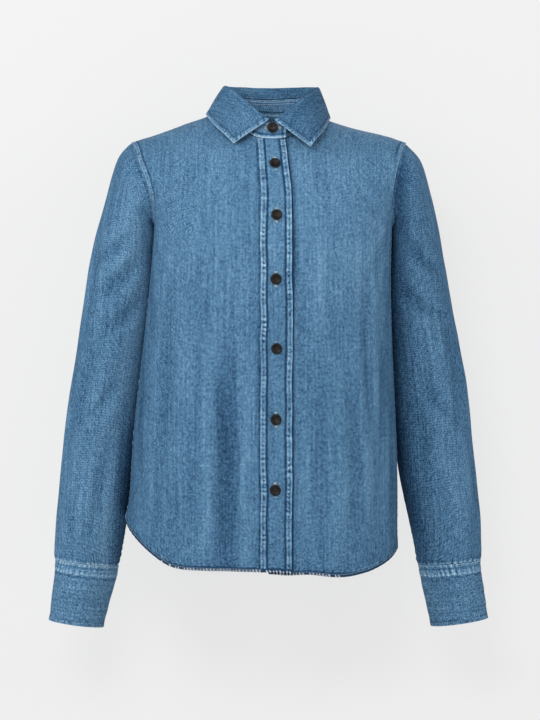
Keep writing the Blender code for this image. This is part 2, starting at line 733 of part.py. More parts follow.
def button(name, back_at, normal):
    """A turned button with a raised rim and four holes, its back at a point, facing along normal."""
    bm = bmesh.new()
    points = [bm.verts.new((radius, 0, height)) for radius, height in button_profile()]
    for upper, lower in zip(points, points[1:]):
        bm.edges.new((upper, lower))
    obj = new_object(name, bm, BUTTON_BROWN, roughness=0.35)
    turned = obj.modifiers.new("turned", "SCREW")
    turned.axis = "Z"
    turned.angle = math.tau
    turned.steps = BUTTON_SEGMENTS
    turned.render_steps = BUTTON_SEGMENTS
    turned.use_merge_vertices = True
    turned.merge_threshold = 0.00001
    turned.use_normal_calculate = True
    obj.matrix_world = Matrix.Translation(back_at) @ normal.to_track_quat("Z", "Y").to_matrix().to_4x4()
    holes = obj.modifiers.new("holes", "BOOLEAN")
    holes.operation = "DIFFERENCE"
    holes.solver = "EXACT"
    holes.object = button_holes(name, obj.matrix_world)
    return obj


def front_buttons():
    out = CLOTH / 2 + LAY_GAP + LAY_BEND + DOUBLED
    step = BUTTON_RADIUS
    for i, (z, x) in enumerate(zip(FRONT_BUTTONS["z"], FRONT_BUTTONS["x"])):
        place = on_body(x, z, -1, out + BUTTON_GAP)
        up = on_body(x, z + step, -1) - on_body(x, z - step, -1)
        across = on_body(x + step, z, -1) - on_body(x - step, z, -1)
        button(f"front_button_{i + 1}", place, across.cross(up).normalized())


def stand_button():
    x, z = STAND_BUTTON_AT
    angle = math.degrees(math.asin((x - NECK_X) / NECK_HALF_WIDTH))
    foot, top = stand_foot(angle), stand_top(angle)
    share = (z - foot.z) / (top.z - foot.z)
    out = STAND_LAYER + DOUBLED / 2 + BUTTON_GAP
    up = (top - foot).normalized()
    normal = Vector((up.z, 0, 0)).cross(up).normalized()
    button("stand_button", foot.lerp(top, share) + outward(angle) * out, normal)


def cuff_button(side, sections):
    """A button on the back of a cuff."""
    rings = [ring(sections, k, clear=False) for k in (1, 2)]
    k = round(CUFF_BUTTON_ANGLE / 360 * SLEEVE_POINTS) % SLEEVE_POINTS
    upper, lower = rings[0][k], rings[1][k]
    beside = rings[0][(k + 1) % SLEEVE_POINTS] - rings[0][k - 1]
    normal = beside.cross(lower - upper).normalized()
    centre = sum(rings[0], Vector()) / SLEEVE_POINTS
    if normal.dot(upper - centre) < 0:
        normal = -normal
    place = upper.lerp(lower, CUFF_BUTTON_AT) + normal * (DOUBLED / 2 + BUTTON_GAP)
    button(side + "_cuff_button", place, normal)


# ---------------------------------------------------------------- objects

def collection(name):
    group = bpy.data.collections.new(name)
    bpy.context.scene.collection.children.link(group)
    return group


def material(name, colour, roughness):
    finish = bpy.data.materials.new(name)
    finish.use_nodes = True
    shader = finish.node_tree.nodes["Principled BSDF"]
    shader.inputs["Base Color"].default_value = (*colour, 1)
    shader.inputs["Roughness"].default_value = roughness
    shader.inputs["Metallic"].default_value = 0.0
    return finish


def new_object(name, bm, colour, roughness=0.9, group=None):
    mesh = bpy.data.meshes.new(name)
    bm.to_mesh(mesh)
    bm.free()
    mesh.shade_smooth()
    obj = bpy.data.objects.new(name, mesh)
    obj.data.materials.append(material(name, colour, roughness))
    (group or SHIRT).objects.link(obj)
    return obj


def sheet(name, rows, thickness, closed=False, flip=False, colour=DENIM):
    """An open grid of cloth points, some of them None, made a wall of one thickness about them."""
    bm = bmesh.new()
    grid = [[point and bm.verts.new(point) for point in row] for row in rows]
    for lower, upper in zip(grid, grid[1:]):
        count = len(lower)
        for i in range(count if closed else count - 1):
            k = (i + 1) % count
            face = (lower[i], lower[k], upper[k], upper[i])
            if all(face):
                bm.faces.new(face[::-1] if flip else face)
    obj = new_object(name, bm, colour)
    wall = obj.modifiers.new("wall", "SOLIDIFY")
    wall.thickness = thickness
    wall.offset = 0
    wall.use_even_offset = True
    return obj


def build():
    right_front()
    left_front()
    placket()
    back()
    yoke()
    sleeve("right", RIGHT_SLEEVE)
    sleeve("left", LEFT_SLEEVE)
    cuff("right", RIGHT_CUFF)
    cuff("left", LEFT_CUFF)
    collar_stand()
    collar_leaf()
    front_buttons()
    stand_button()
    cuff_button("right", RIGHT_CUFF)
    cuff_button("left", LEFT_CUFF)


for old in list(bpy.data.objects):
    bpy.data.objects.remove(old)
SHIRT = collection("denim_shirt")
CUTTERS = collection("cutters")
build()
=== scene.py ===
"""A women's denim shirt, filled out as it is worn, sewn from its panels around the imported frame.

Metres, +Z up. The front faces -Y, and "left" and "right" are the wearer's own.
"""

import math
import random

import bmesh
import bpy
import numpy as np
from mathutils import Matrix, Vector, noise


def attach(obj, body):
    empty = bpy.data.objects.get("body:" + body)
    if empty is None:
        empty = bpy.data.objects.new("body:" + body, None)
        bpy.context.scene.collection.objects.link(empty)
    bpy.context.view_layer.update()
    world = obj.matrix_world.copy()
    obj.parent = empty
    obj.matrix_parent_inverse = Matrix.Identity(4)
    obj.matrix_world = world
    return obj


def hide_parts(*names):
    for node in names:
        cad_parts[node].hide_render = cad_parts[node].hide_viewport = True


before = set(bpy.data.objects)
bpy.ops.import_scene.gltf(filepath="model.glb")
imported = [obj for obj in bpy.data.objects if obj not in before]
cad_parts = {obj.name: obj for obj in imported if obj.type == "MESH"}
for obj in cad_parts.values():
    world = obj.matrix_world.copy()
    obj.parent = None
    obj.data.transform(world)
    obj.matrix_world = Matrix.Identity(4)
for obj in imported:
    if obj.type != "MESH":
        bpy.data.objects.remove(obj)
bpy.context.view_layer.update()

# Cloth and seams
CLOTH = 0.0012            # one layer of denim
DOUBLED = 0.0018          # collar, stand, cuffs and placket: two layers
SEAM_GAP = 0.0002         # between the middles of two panels' edges
LAY_GAP = 0.0005          # between a panel and what lies on it
LAY_BEND = 0.0003         # and this much more where both bend over a fold
SLEEVE_CLEARANCE = {"right": 0.0009, "left": 0.0014}  # between a sleeve and the body beside it
SLEEVE_SEAM_OUT = 0.0005  # from the armhole's edge out to the sleeve's, sideways
SLEEVE_SEAM_DOWN = 0.0001

# Body
ROUND = 2.5               # exponent of the body's oval section
RIDGE_Y = 0.004           # the shoulder seam lies this far behind the origin
FRONT_FALL = 0.150        # height over which the front rounds over to the shoulder seam
BACK_FALL = 0.120
FLANK_START = 0.080       # the sides come forward over this distance from the middle
FOLD_CORE = 1.6           # how steep a fold's sides are
FOLD_FOOT = 1.6           # how far past its full height a fold keeps its slant
UNDERARM_Z = -0.140
YOKE_SEAM_Z = -0.085
NECK_HALF_WIDTH = 0.066
NECK_PEAK = 0.024         # how far the shoulder slope would rise again inside the neck
NECK_X = 0.002            # the neck's middle
NECK_FRONT_Y = -0.080
NECK_PIT_Z = -0.0310
NECK_BACK_Y = 0.056
NECK_REACH = 0.100        # the neckline lies no further below the shoulder seam than this
NECK_FLAT = 50.0          # degrees over which the neckline rises from its lowest point
NECK_UNDERLAP = 0.0012    # how much deeper the left front lies under the right at the neck
UNDERLAP_Z = -0.070       # the height where that starts
UNDERLAP_RISE = 0.030
UNDERLAP_EDGE = 0.002     # the left front lies under this far past the placket's free edge
UNDERLAP_REACH = 0.020    # and comes level with the right one over this width

# Collar
STAND_HEIGHT = 0.0220     # at the back
STAND_LEVELLING = 0.055   # its upper edge turns level at the back, against the shoulders' tilt
STAND_FRONT_HEIGHT = 0.0210
STAND_SEAT = 0.0010       # the stand's lower edge above the neckline
STAND_SEAT_MORE = 0.0011  # and this much more where the neckline slants
STAND_MIDDLE_Y = -0.010   # towards which its upper edge is drawn in
STAND_LEAN = 0.05         # share by which its upper edge is drawn in
STAND_LAP = 17.8          # degrees past the middle that the upper end laps
STAND_UNDERLAP = 8.0      # degrees past the middle of the lower end
STAND_EASE = 60.0         # degrees over which each end moves to its own layer
STAND_LAYER = (DOUBLED + LAY_GAP) / 2 + LAY_BEND  # half the distance between the lapped ends
ROLL_OUT = 0.0048         # from the stand's line out to the leaf's outer side
ROLL_INNER = 0.60         # the roll's inner side by share of its rise, its crown by share of its
ROLL_CROWN = 0.45         # reach, and its outer side by share of its rise
ROLL_OUTER = 0.72
ROLL_LEAST = 0.0022       # the least rise of the roll over the leaf's seam
LEAF_SEAM = 0.0012        # between the stand's upper edge and the leaf's lower one
LEAF_CROWN = 0.0012       # how far the leaf bows out between roll and edge
LEAF_ABOVE = 0.020        # within this of the shoulder seam, the leaf is cleared upwards
LEAF_CLEARANCE = 0.0038   # between the leaf and the shoulders

# Buttons
BUTTON_RADIUS = 0.0072
BUTTON_THICKNESS = 0.0026
BUTTON_GAP = 0.0006
BUTTON_HOLE_RADIUS = 0.0008
BUTTON_HOLE_PITCH = 0.0014
BUTTON_HOLES = 4
BUTTON_SEGMENTS = 40
BUTTON_HOLE_SEGMENTS = 16
SHANK_RADIUS = 0.0011     # of the thread under a button
CROSS_RADIUS = 0.00024    # of the thread over it, in two strands
CROSS_BESIDE = 0.00022    # each strand's distance from the middle of the two
HOLE_STITCHES = 24        # along each side of a buttonhole
BAR_STITCHES = 6          # across each of its ends
HOLE_STITCH_RADIUS = 0.00030
BAR_STITCH_RADIUS = 0.00036
HOLE_PROUD = 0.0002       # how far the stitches of a buttonhole stand out of the cloth
FRONT_HOLE = (0.0190, 0.0030)  # length and width of the buttonholes
STAND_HOLE = (0.0205, 0.0034)
CUFF_HOLE = (0.0195, 0.0034)

# A button's section from the middle of its face round to the middle of its back: shares of its
# radius and of its thickness.
BUTTON_PROFILE = (
    (0, 0.50), (0.30, 0.51), (0.52, 0.56), (0.64, 0.72), (0.72, 0.92), (0.80, 1.00), (0.89, 0.97),
    (0.96, 0.84), (1.00, 0.62), (0.98, 0.42), (0.90, 0.22), (0.78, 0.06), (0.60, 0.00), (0, 0),
)

# Rows and columns of each panel, as shares of its length and width, closer near the sewn edges
BODY_SHARES = (
    0, 0.015, 0.034, 0.07, 0.12, 0.175, 0.23, 0.285, 0.34, 0.395, 0.45, 0.505, 0.56, 0.615, 0.67,
    0.73, 0.79, 0.86, 0.93, 1,
)
BODY_ROWS = len(BODY_SHARES) - 1
SIDE_SHARES = (0, 0.075, 0.15, 0.23, 0.31, 0.39, 0.47, 0.55, 0.63, 0.71, 0.79, 0.87, 0.925, 0.965, 1)
BACK_SHARES = (
    0, 0.018, 0.04, 0.085, 0.14, 0.20, 0.26, 0.32, 0.38, 0.44, 0.50, 0.56, 0.62, 0.68, 0.74, 0.80,
    0.86, 0.915, 0.96, 0.982, 1,
)
STAND_SHARES = (0, 0.25, 0.6, 1)
LEAF_SHARES = (0.14, 0.28, 0.42, 0.56, 0.70, 0.82, 0.91, 0.96, 1)
ARM_ROWS = 10             # from the underarm to the end of the shoulder
PIT_ROW = 6               # of them, up to the pit of the neck
CLOSURE_STEPS = 4         # across the placket
ROW_STEP = 0.7            # share of the way that each round of levelling moves a row's points
BACK_TOP_ROWS = 4
YOKE_ARM_STEPS = 6
YOKE_BACK_STEPS = 18
YOKE_ROWS = 8
SLEEVE_POINTS = 22
NECK_STEPS = 44
LEAF_STEPS = 28
PLACKET_STEPS = 50
PLACKET_SHARES = (0, 0.10, 0.20, 0.50, 0.80, 0.90, 1)
CUFF_ROWS = (0, 0.25, 0.6, 1, 1.6, 2.2, 2.75, 3)  # rows of the cuff's table, and between them
SLEEVE_FOOT_ROWS = (0.62, 0.30, 0)  # before the last row of a sleeve's table, closer above the cuff
FINE_LEVELS = 3           # rounds of smoothing that make a fine mesh
EDGE_STEPS = 4            # points on a fine mesh's edge for each coarse one

# How unevenly the cloth lies: its broad and its fine waves, and their sizes on body and sleeve
UNEVEN_BROAD = 0.0016
UNEVEN_FINE = 0.0006
BODY_WAVES = (0.060, 0.022)
SLEEVE_WAVES = (0.050, 0.020)

# Sewn margins
HEM_WIDTH = 0.0044
HEM_SWAY = 0.0036         # how unevenly the hem hangs, and over what length
HEM_SWAY_SIZE = 0.024
HEM_ROUND = 0.0006        # how far the hem stands out
HEM_RIPPLE = 0.00055      # and how high its twisted ripples are
HEM_GROOVE = 0.00035
HEM_TWIST_PITCH = 0.0088  # from one ripple to the next
HEM_TWIST_SLANT = 0.0085  # the height over which a ripple slants by one pitch
ARMHOLE_FELL = 0.0055
SIDE_FELL = 0.0060
PLACKET_MARGIN = 0.0072
PLACKET_SWAY = 0.0016     # how far its edges wander from their straight run, over what length
PLACKET_SWAY_SIZE = 0.028
PLACKET_FOOT_Z = -0.55    # the height at which its place along the hem is taken
CUFF_BAND = 0.0150        # the stitched-down upper edge of a cuff
CUFF_PUCKER_PITCH = 0.0068
SIDE_PAINTED_SHADE = 0.10           # how much painted shade darkens the sides of the body where they turn away from the front
TOUCHING = 0.85           # share of its unevenness that cloth loses where body and sleeve touch
RUBBED = 42.0             # how much paler a crease's ridge is, by metres of height
CREASE_RIDGES = 0.45      # the ridges beside a crease, as a share of its depth
GROOVE = 0.00030          # how deep a line of stitches draws the cloth in
LAID_UNDER = 0.0005       # how far an edge that goes under another piece lies in
MOTTLE_SIZE = 0.0030      # the patches of dye along a rubbed margin
SEAM_REACH = 0.03         # how far from a seam its wrinkles, its worn paleness and its painted shade are worked out
STITCH_SHARE = 0.74       # of the pitch that each stitch shows
STITCH_INSIDE = 0.0012    # from the edge of a turned margin in to its stitches
STITCH_RADIUS = 0.00038
STITCH_PITCH = 0.0031
STITCH_LONGEST = 0.008    # a longer gap than this in a line is left open
BEAD_SIDES = 4
BEAD_RINGS = 3
BEAD_FLAT = 0.75          # thickness of a stitch by its width
BATCH = 40                # beads that are gathered at a time
HEM_RIDGE_INSET = 0.0012
HEM_RIDGE_PITCH = 0.0043
HEM_RIDGE_LENGTH = 0.0052
HEM_RIDGE_RADIUS = 0.00076
HEM_RIDGE_OUT = 0.0006    # the ridge's middle above the cloth
HEM_RIDGES_LEFT = 0.92    # share of them that show where the hem runs level
STAND_LAPPED_X = (0.0195, 0.0215)  # past here the end that lies beneath is shaded by the leaf

# The stand's inner lines of stitches: how far under its upper edge, and from where to where along it.
STAND_INNER_LINES = ((0.0030, 0.10, 0.34), (0.0062, 0.10, 0.34))
STAND_INNER_THICKER = 1.3  # their thread, as a share of the other lines'


def table(names, *rows):
    """The columns of a table, by name."""
    return {name: [row[i] for row in rows] for i, name in enumerate(names.split())}


# Sections of the body by height: half widths of the wearer's right and left half, how far the front
# and the back stand out, and where on each side the section is widest.
BODY = table(
    "z         right   left    front    back    right_y  left_y",
    (-0.6200, 0.2000, 0.1715, -0.1310, 0.1180, -0.005, -0.010),
    (-0.5400, 0.1950, 0.1702, -0.1290, 0.1160, -0.005, -0.010),
    (-0.5080, 0.1885, 0.1705, -0.1280, 0.1130, -0.005, -0.010),
    (-0.4310, 0.1836, 0.1690, -0.1260, 0.1080, -0.008, -0.012),
    (-0.3620, 0.1765, 0.1658, -0.1250, 0.1030, -0.010, -0.014),
    (-0.2900, 0.1680, 0.1625, -0.1270, 0.1030, -0.012, -0.018),
    (-0.2240, 0.1607, 0.1607, -0.1300, 0.1090, -0.016, -0.024),
    (-0.1730, 0.1562, 0.1608, -0.1290, 0.1150, -0.020, -0.032),
    (-0.1400, 0.1540, 0.1622, -0.1240, 0.1170, -0.022, -0.036),
    (-0.1130, 0.1630, 0.1660, -0.1180, 0.1160, -0.024, -0.038),
    (-0.0880, 0.1900, 0.1780, -0.1120, 0.1140, -0.026, -0.038),
    (-0.0600, 0.2300, 0.1980, -0.1060, 0.1100, -0.024, -0.032),
    (-0.0200, 0.2600, 0.2300, -0.0950, 0.1020, -0.020, -0.024),
    (0.0500, 0.2700, 0.2500, -0.0860, 0.0840, -0.016, -0.016),
)

# The shoulder seam's height by distance from the middle, on each side.
SHOULDER = table(
    "x         right    left",
    (0.0660, 0.0140, 0.0060),
    (0.0850, 0.0070, -0.0005),
    (0.1150, -0.0038, -0.0100),
    (0.1430, -0.0140, -0.0160),
    (0.1680, -0.0225, -0.0225),
    (0.1870, -0.0285, -0.0310),
)

# The armhole seam from the underarm, 0, to the end of the shoulder, 1.
ARMHOLE = table(
    "at     right_x  right_z   left_x  left_z",
    (0.00, 0.1540, -0.1400, 0.1622, -0.1400),
    (0.12, 0.1540, -0.1290, 0.1622, -0.1290),
    (0.30, 0.1550, -0.1110, 0.1625, -0.1110),
    (0.52, 0.1612, -0.0870, 0.1650, -0.0880),
    (0.76, 0.1730, -0.0600, 0.1705, -0.0610),
    (1.00, 0.1865, -0.0285, 0.1835, -0.0305),
)

# The hem's height by angle round from the middle of the front, 0, to the side seam, 90.
FRONT_HEM = table(
    "angle  right    left",
    (-14, -0.5985, -0.5985),
    (0.0, -0.5965, -0.5995),
    (12., -0.5960, -0.6020),
    (25., -0.5960, -0.6040),
    (38., -0.5905, -0.6015),
    (48., -0.5730, -0.5965),
    (59., -0.5600, -0.5885),
    (70., -0.5475, -0.5800),
    (80., -0.5370, -0.5730),
    (90., -0.5330, -0.5690),
)
BACK_HEM = table(
    "angle  right    left",
    (0.0, -0.6080, -0.6080),
    (25., -0.6070, -0.6075),
    (45., -0.5920, -0.6010),
    (60., -0.5690, -0.5880),
    (75., -0.5430, -0.5740),
    (90., -0.5330, -0.5690),
)

# The placket's two edges by height.
PLACKET = table(
    "z        right_x  left_x",
    (-0.6050, -0.0118, 0.0280),
    (-0.2400, -0.0118, 0.0286),
    (-0.1050, -0.0118, 0.0274),
    (-0.0600, -0.0142, 0.0226),
    (-0.0280, -0.0160, 0.0190),
)

# The body's largest folds: the middle of each by angle round the section at its top and its foot,
# half its width in degrees, the heights where it starts and is full, and how far it lies in.
FOLDS = table(
    "face  top_angle  foot_angle  half  start_z  full_z   depth",
    (-1., -11.0, -14.0, 6.0, -0.170, -0.330, 0.0038),
    (-1., -47.0, -40.0, 7.0, -0.180, -0.420, 0.0028),
    (-1., 45.0, 51.0, 5.5, -0.190, -0.330, 0.0034),
    (-1., 66.0, 70.0, 6.0, -0.170, -0.300, 0.0036),
    (1.0, -30.0, -34.0, 8.0, -0.150, -0.360, 0.0042),
    (1.0, 6.00, 3.00, 7.0, -0.230, -0.450, 0.0030),
    (1.0, 37.0, 42.0, 8.0, -0.130, -0.330, 0.0045),
)

# Heights of the buttons down the placket, and their places across it.
FRONT_BUTTONS = table(
    "z         x",
    (-0.0645, 0.0066),
    (-0.1330, 0.0086),
    (-0.2165, 0.0078),
    (-0.3066, 0.0086),
    (-0.3985, 0.0078),
    (-0.4900, 0.0068),
)
STAND_BUTTON_AT = (0.0035, -0.0155)

# The wearer's right sleeve and left sleeve: the outer and the inner edge of each section, and the
# middle and half depth of the section from front to back.
RIGHT_SLEEVE = table(
    "outer_x   outer_z  inner_x  inner_z  mid_y  half_y",
    (-0.1985, -0.0400, -0.1565, -0.1415, -0.001, 0.0660),
    (-0.2075, -0.0540, -0.1555, -0.1500, 0.003, 0.0660),
    (-0.2152, -0.0770, -0.1540, -0.1590, 0.008, 0.0650),
    (-0.2217, -0.1000, -0.1525, -0.1700, 0.013, 0.0640),
    (-0.2312, -0.1350, -0.1500, -0.1900, 0.019, 0.0625),
    (-0.2417, -0.1750, -0.1480, -0.2150, 0.026, 0.0610),
    (-0.2511, -0.2270, -0.1520, -0.2500, 0.030, 0.0590),
    (-0.2611, -0.2940, -0.1600, -0.3100, 0.034, 0.0560),
    (-0.2715, -0.3570, -0.1700, -0.3680, 0.036, 0.0540),
    (-0.2788, -0.4100, -0.1800, -0.4210, 0.036, 0.0520),
    (-0.2853, -0.4770, -0.1885, -0.4880, 0.034, 0.0490),
    (-0.2901, -0.5300, -0.1950, -0.5390, 0.030, 0.0465),
    (-0.2918, -0.5640, -0.2000, -0.5700, 0.027, 0.0445),
    (-0.2917, -0.5905, -0.2078, -0.6000, 0.025, 0.0400),
)
LEFT_SLEEVE = table(
    "outer_x  outer_z  inner_x  inner_z  mid_y  half_y",
    (0.1940, -0.0410, 0.1650, -0.1415, -0.007, 0.0560),
    (0.2045, -0.0530, 0.1645, -0.1500, -0.002, 0.0580),
    (0.2120, -0.0770, 0.1630, -0.1590, 0.004, 0.0600),
    (0.2185, -0.1030, 0.1610, -0.1700, 0.010, 0.0610),
    (0.2269, -0.1350, 0.1580, -0.1900, 0.017, 0.0615),
    (0.2344, -0.1720, 0.1560, -0.2150, 0.026, 0.0610),
    (0.2444, -0.2270, 0.1560, -0.2500, 0.030, 0.0590),
    (0.2582, -0.2940, 0.1590, -0.3080, 0.034, 0.0560),
    (0.2689, -0.3570, 0.1630, -0.3680, 0.036, 0.0540),
    (0.2732, -0.4100, 0.1680, -0.4200, 0.036, 0.0520),
    (0.2799, -0.4770, 0.1780, -0.4870, 0.034, 0.0490),
    (0.2859, -0.5300, 0.1895, -0.5370, 0.030, 0.0465),
    (0.2871, -0.5640, 0.1960, -0.5690, 0.027, 0.0445),
    (0.2856, -0.5915, 0.2030, -0.5985, 0.025, 0.0400),
)
RIGHT_CUFF = table(
    "outer_x   outer_z  inner_x  inner_z  mid_y  half_y",
    (-0.2916, -0.5912, -0.2075, -0.6008, 0.025, 0.0405),
    (-0.2933, -0.6120, -0.2105, -0.6210, 0.024, 0.0385),
    (-0.2963, -0.6400, -0.2185, -0.6490, 0.022, 0.0350),
    (-0.2995, -0.6735, -0.2265, -0.6835, 0.020, 0.0325),
)
LEFT_CUFF = table(
    "outer_x  outer_z  inner_x  inner_z  mid_y  half_y",
    (0.2856, -0.5922, 0.2028, -0.5993, 0.025, 0.0405),
    (0.2875, -0.6120, 0.2060, -0.6210, 0.024, 0.0385),
    (0.2915, -0.6400, 0.2115, -0.6490, 0.022, 0.0350),
    (0.2955, -0.6710, 0.2188, -0.6820, 0.020, 0.0325),
)
CUFF_BUTTON_ANGLE = 235.0  # round the cuff from its outer edge by way of the front
CUFF_BUTTON_AT = 0.55      # down the cuff

# The collar's leaf by angle round the neck from the middle of the front, 0, to the back, 180: the
# height of its roll, and the place of its outer edge.
RIGHT_LEAF = table(
    "angle  roll_z   edge_x   edge_y   edge_z",
    (4.00, -0.0055, -0.0480, -0.0900, -0.0370),
    (20.0, 0.0100, -0.0535, -0.0900, -0.0310),
    (38.0, 0.0265, -0.0640, -0.0760, -0.0200),
    (60.0, 0.0420, -0.0755, -0.0470, -0.0070),
    (85.0, 0.0485, -0.0850, -0.0100, 0.0085),
    (112., 0.0510, -0.0830, 0.0360, 0.0110),
    (140., 0.0525, -0.0600, 0.0680, 0.0080),
    (180., 0.0530, 0.0000, 0.0830, 0.0050),
)
LEFT_LEAF = table(
    "angle  roll_z   edge_x  edge_y   edge_z",
    (4.00, -0.0055, 0.0535, -0.0920, -0.0420),
    (20.0, 0.0100, 0.0580, -0.0900, -0.0340),
    (38.0, 0.0265, 0.0655, -0.0780, -0.0250),
    (60.0, 0.0420, 0.0735, -0.0490, -0.0120),
    (85.0, 0.0475, 0.0795, -0.0120, 0.0030),
    (112., 0.0505, 0.0790, 0.0340, 0.0070),
    (140., 0.0525, 0.0590, 0.0680, 0.0070),
    (180., 0.0530, 0.0000, 0.0830, 0.0050),
)

# The finer creases of each panel, from one end to the other: across is along the cloth from the
# middle of the front or back, or from the outer line of a sleeve; sway is how far the middle bows.
RIGHT_FRONT_CREASES = table(
    "across  z       to_across  to_z    sway    width   depth",
    (0.040, -0.150, 0.052, -0.420, 0.006, 0.009, 0.0010),
    (0.062, -0.320, 0.062, -0.640, -0.004, 0.014, 0.0046),
    (0.086, -0.200, 0.098, -0.470, 0.006, 0.010, 0.0011),
    (0.110, -0.420, 0.104, -0.580, -0.003, 0.008, 0.0010),
    (0.128, -0.170, 0.142, -0.400, 0.008, 0.011, 0.0014),
    (0.150, -0.330, 0.162, -0.560, -0.004, 0.009, 0.0012),
    (0.190, -0.150, 0.150, -0.205, 0.006, 0.008, 0.0016),
    (0.200, -0.175, 0.172, -0.290, 0.006, 0.009, 0.0014),
    (0.205, -0.280, 0.196, -0.470, 0.004, 0.010, 0.0014),
    (0.026, -0.120, 0.060, -0.070, 0.004, 0.007, 0.0007),
    (0.120, -0.105, 0.150, -0.130, 0.003, 0.006, 0.0010),
    (0.090, -0.060, 0.125, -0.095, -0.003, 0.008, 0.0008),
)
LEFT_FRONT_CREASES = table(
    "across  z       to_across  to_z    sway    width   depth",
    (0.042, -0.180, 0.050, -0.380, -0.005, 0.010, 0.0011),
    (0.058, -0.340, 0.066, -0.590, 0.005, 0.012, 0.0013),
    (0.082, -0.160, 0.094, -0.330, -0.006, 0.009, 0.0011),
    (0.104, -0.300, 0.112, -0.580, 0.006, 0.011, 0.0014),
    (0.134, -0.190, 0.140, -0.440, -0.005, 0.008, 0.0016),
    (0.160, -0.260, 0.158, -0.500, 0.004, 0.008, 0.0015),
    (0.182, -0.150, 0.148, -0.215, -0.006, 0.008, 0.0016),
    (0.196, -0.200, 0.178, -0.330, -0.005, 0.010, 0.0013),
    (0.190, -0.400, 0.180, -0.560, 0.004, 0.009, 0.0011),
    (0.120, -0.100, 0.146, -0.128, 0.003, 0.006, 0.0010),
    (0.060, -0.070, 0.100, -0.110, 0.004, 0.008, 0.0008),
)
BACK_CREASES = table(
    "across  z       to_across  to_z    sway    width   depth",
    (-0.020, -0.110, -0.028, -0.420, 0.008, 0.012, 0.0016),
    (0.030, -0.150, 0.022, -0.520, -0.009, 0.013, 0.0014),
    (-0.080, -0.120, -0.096, -0.380, -0.008, 0.011, 0.0015),
    (0.090, -0.110, 0.106, -0.330, 0.008, 0.011, 0.0014),
    (-0.120, -0.260, -0.116, -0.560, 0.008, 0.013, 0.0016),
    (0.134, -0.240, 0.122, -0.550, -0.007, 0.012, 0.0015),
    (-0.190, -0.150, -0.150, -0.230, 0.006, 0.009, 0.0018),
    (0.188, -0.150, 0.150, -0.240, -0.006, 0.009, 0.0017),
    (-0.205, -0.230, -0.180, -0.420, 0.006, 0.011, 0.0014),
    (0.204, -0.240, 0.186, -0.440, -0.006, 0.011, 0.0014),
    (-0.050, -0.400, -0.060, -0.600, 0.005, 0.012, 0.0012),
    (0.070, -0.420, 0.062, -0.600, -0.005, 0.011, 0.0012),
)
RIGHT_SLEEVE_CREASES = table(
    "across  z       to_across  to_z    sway    width   depth",
    (0.095, -0.155, 0.030, -0.190, 0.006, 0.009, 0.0022),
    (0.110, -0.190, 0.045, -0.235, 0.006, 0.010, 0.0022),
    (0.120, -0.240, 0.060, -0.285, 0.005, 0.010, 0.0018),
    (0.020, -0.120, 0.042, -0.300, 0.008, 0.011, 0.0015),
    (0.060, -0.290, 0.050, -0.450, -0.007, 0.010, 0.0015),
    (0.020, -0.340, 0.032, -0.540, 0.006, 0.009, 0.0013),
    (0.095, -0.340, 0.070, -0.400, 0.005, 0.009, 0.0016),
    (0.090, -0.430, 0.075, -0.560, 0.005, 0.009, 0.0014),
    (0.052, -0.480, 0.048, -0.590, -0.003, 0.007, 0.0014),
    (0.012, -0.520, 0.018, -0.590, 0.002, 0.006, 0.0012),
    (-0.100, -0.160, -0.035, -0.200, -0.006, 0.010, 0.0022),
    (-0.115, -0.210, -0.050, -0.260, -0.006, 0.010, 0.0020),
    (-0.040, -0.260, -0.050, -0.440, 0.006, 0.011, 0.0016),
    (-0.090, -0.330, -0.060, -0.390, -0.005, 0.010, 0.0018),
    (-0.020, -0.420, -0.028, -0.580, 0.005, 0.009, 0.0013),
    (-0.075, -0.470, -0.066, -0.585, -0.004, 0.008, 0.0014),
)
LEFT_SLEEVE_CREASES = table(
    "across  z       to_across  to_z    sway    width   depth",
    (-0.095, -0.150, -0.028, -0.185, -0.006, 0.009, 0.0021),
    (-0.112, -0.185, -0.044, -0.240, -0.006, 0.010, 0.0022),
    (-0.118, -0.250, -0.058, -0.300, -0.005, 0.010, 0.0018),
    (-0.022, -0.110, -0.040, -0.310, -0.008, 0.011, 0.0015),
    (-0.062, -0.300, -0.048, -0.470, 0.007, 0.010, 0.0015),
    (-0.018, -0.330, -0.030, -0.530, -0.006, 0.009, 0.0013),
    (-0.098, -0.350, -0.072, -0.410, -0.005, 0.009, 0.0016),
    (-0.088, -0.440, -0.078, -0.565, -0.005, 0.009, 0.0014),
    (-0.054, -0.490, -0.050, -0.590, 0.003, 0.007, 0.0014),
    (-0.014, -0.510, -0.018, -0.590, -0.002, 0.006, 0.0012),
    (0.100, -0.160, 0.036, -0.205, 0.006, 0.010, 0.0022),
    (0.112, -0.220, 0.052, -0.265, 0.006, 0.010, 0.0020),
    (0.042, -0.270, 0.050, -0.430, -0.006, 0.011, 0.0016),
    (0.092, -0.340, 0.060, -0.400, 0.005, 0.010, 0.0018),
    (0.022, -0.430, 0.028, -0.575, -0.005, 0.009, 0.0013),
    (0.074, -0.460, 0.066, -0.585, 0.004, 0.008, 0.0014),
)

SLEEVE = {"right": RIGHT_SLEEVE, "left": LEFT_SLEEVE}
CUFF = {"right": RIGHT_CUFF, "left": LEFT_CUFF}
LEAF = {"right": RIGHT_LEAF, "left": LEFT_LEAF}
FRONT_CREASES = {"right": RIGHT_FRONT_CREASES, "left": LEFT_FRONT_CREASES}
SLEEVE_CREASES = {"right": RIGHT_SLEEVE_CREASES, "left": LEFT_SLEEVE_CREASES}

# Beside the front of the armhole a sleeve dips behind the body's edge: how far it dips, how much
# painted shade darkens it there, and over what width.
CAP_DIP = {"right": (0.0016, 0.14, 0.020), "left": (0.0034, 0.22, 0.030)}

UNDERARM_FILL = 0.0019    # the sleeve swells against the body under the arm
UNDERARM_FILL_AT = 0.013  # this far from the armhole
SLEEVE_FOOT_OUT = 0.0010  # the sleeve fills out over its cuff
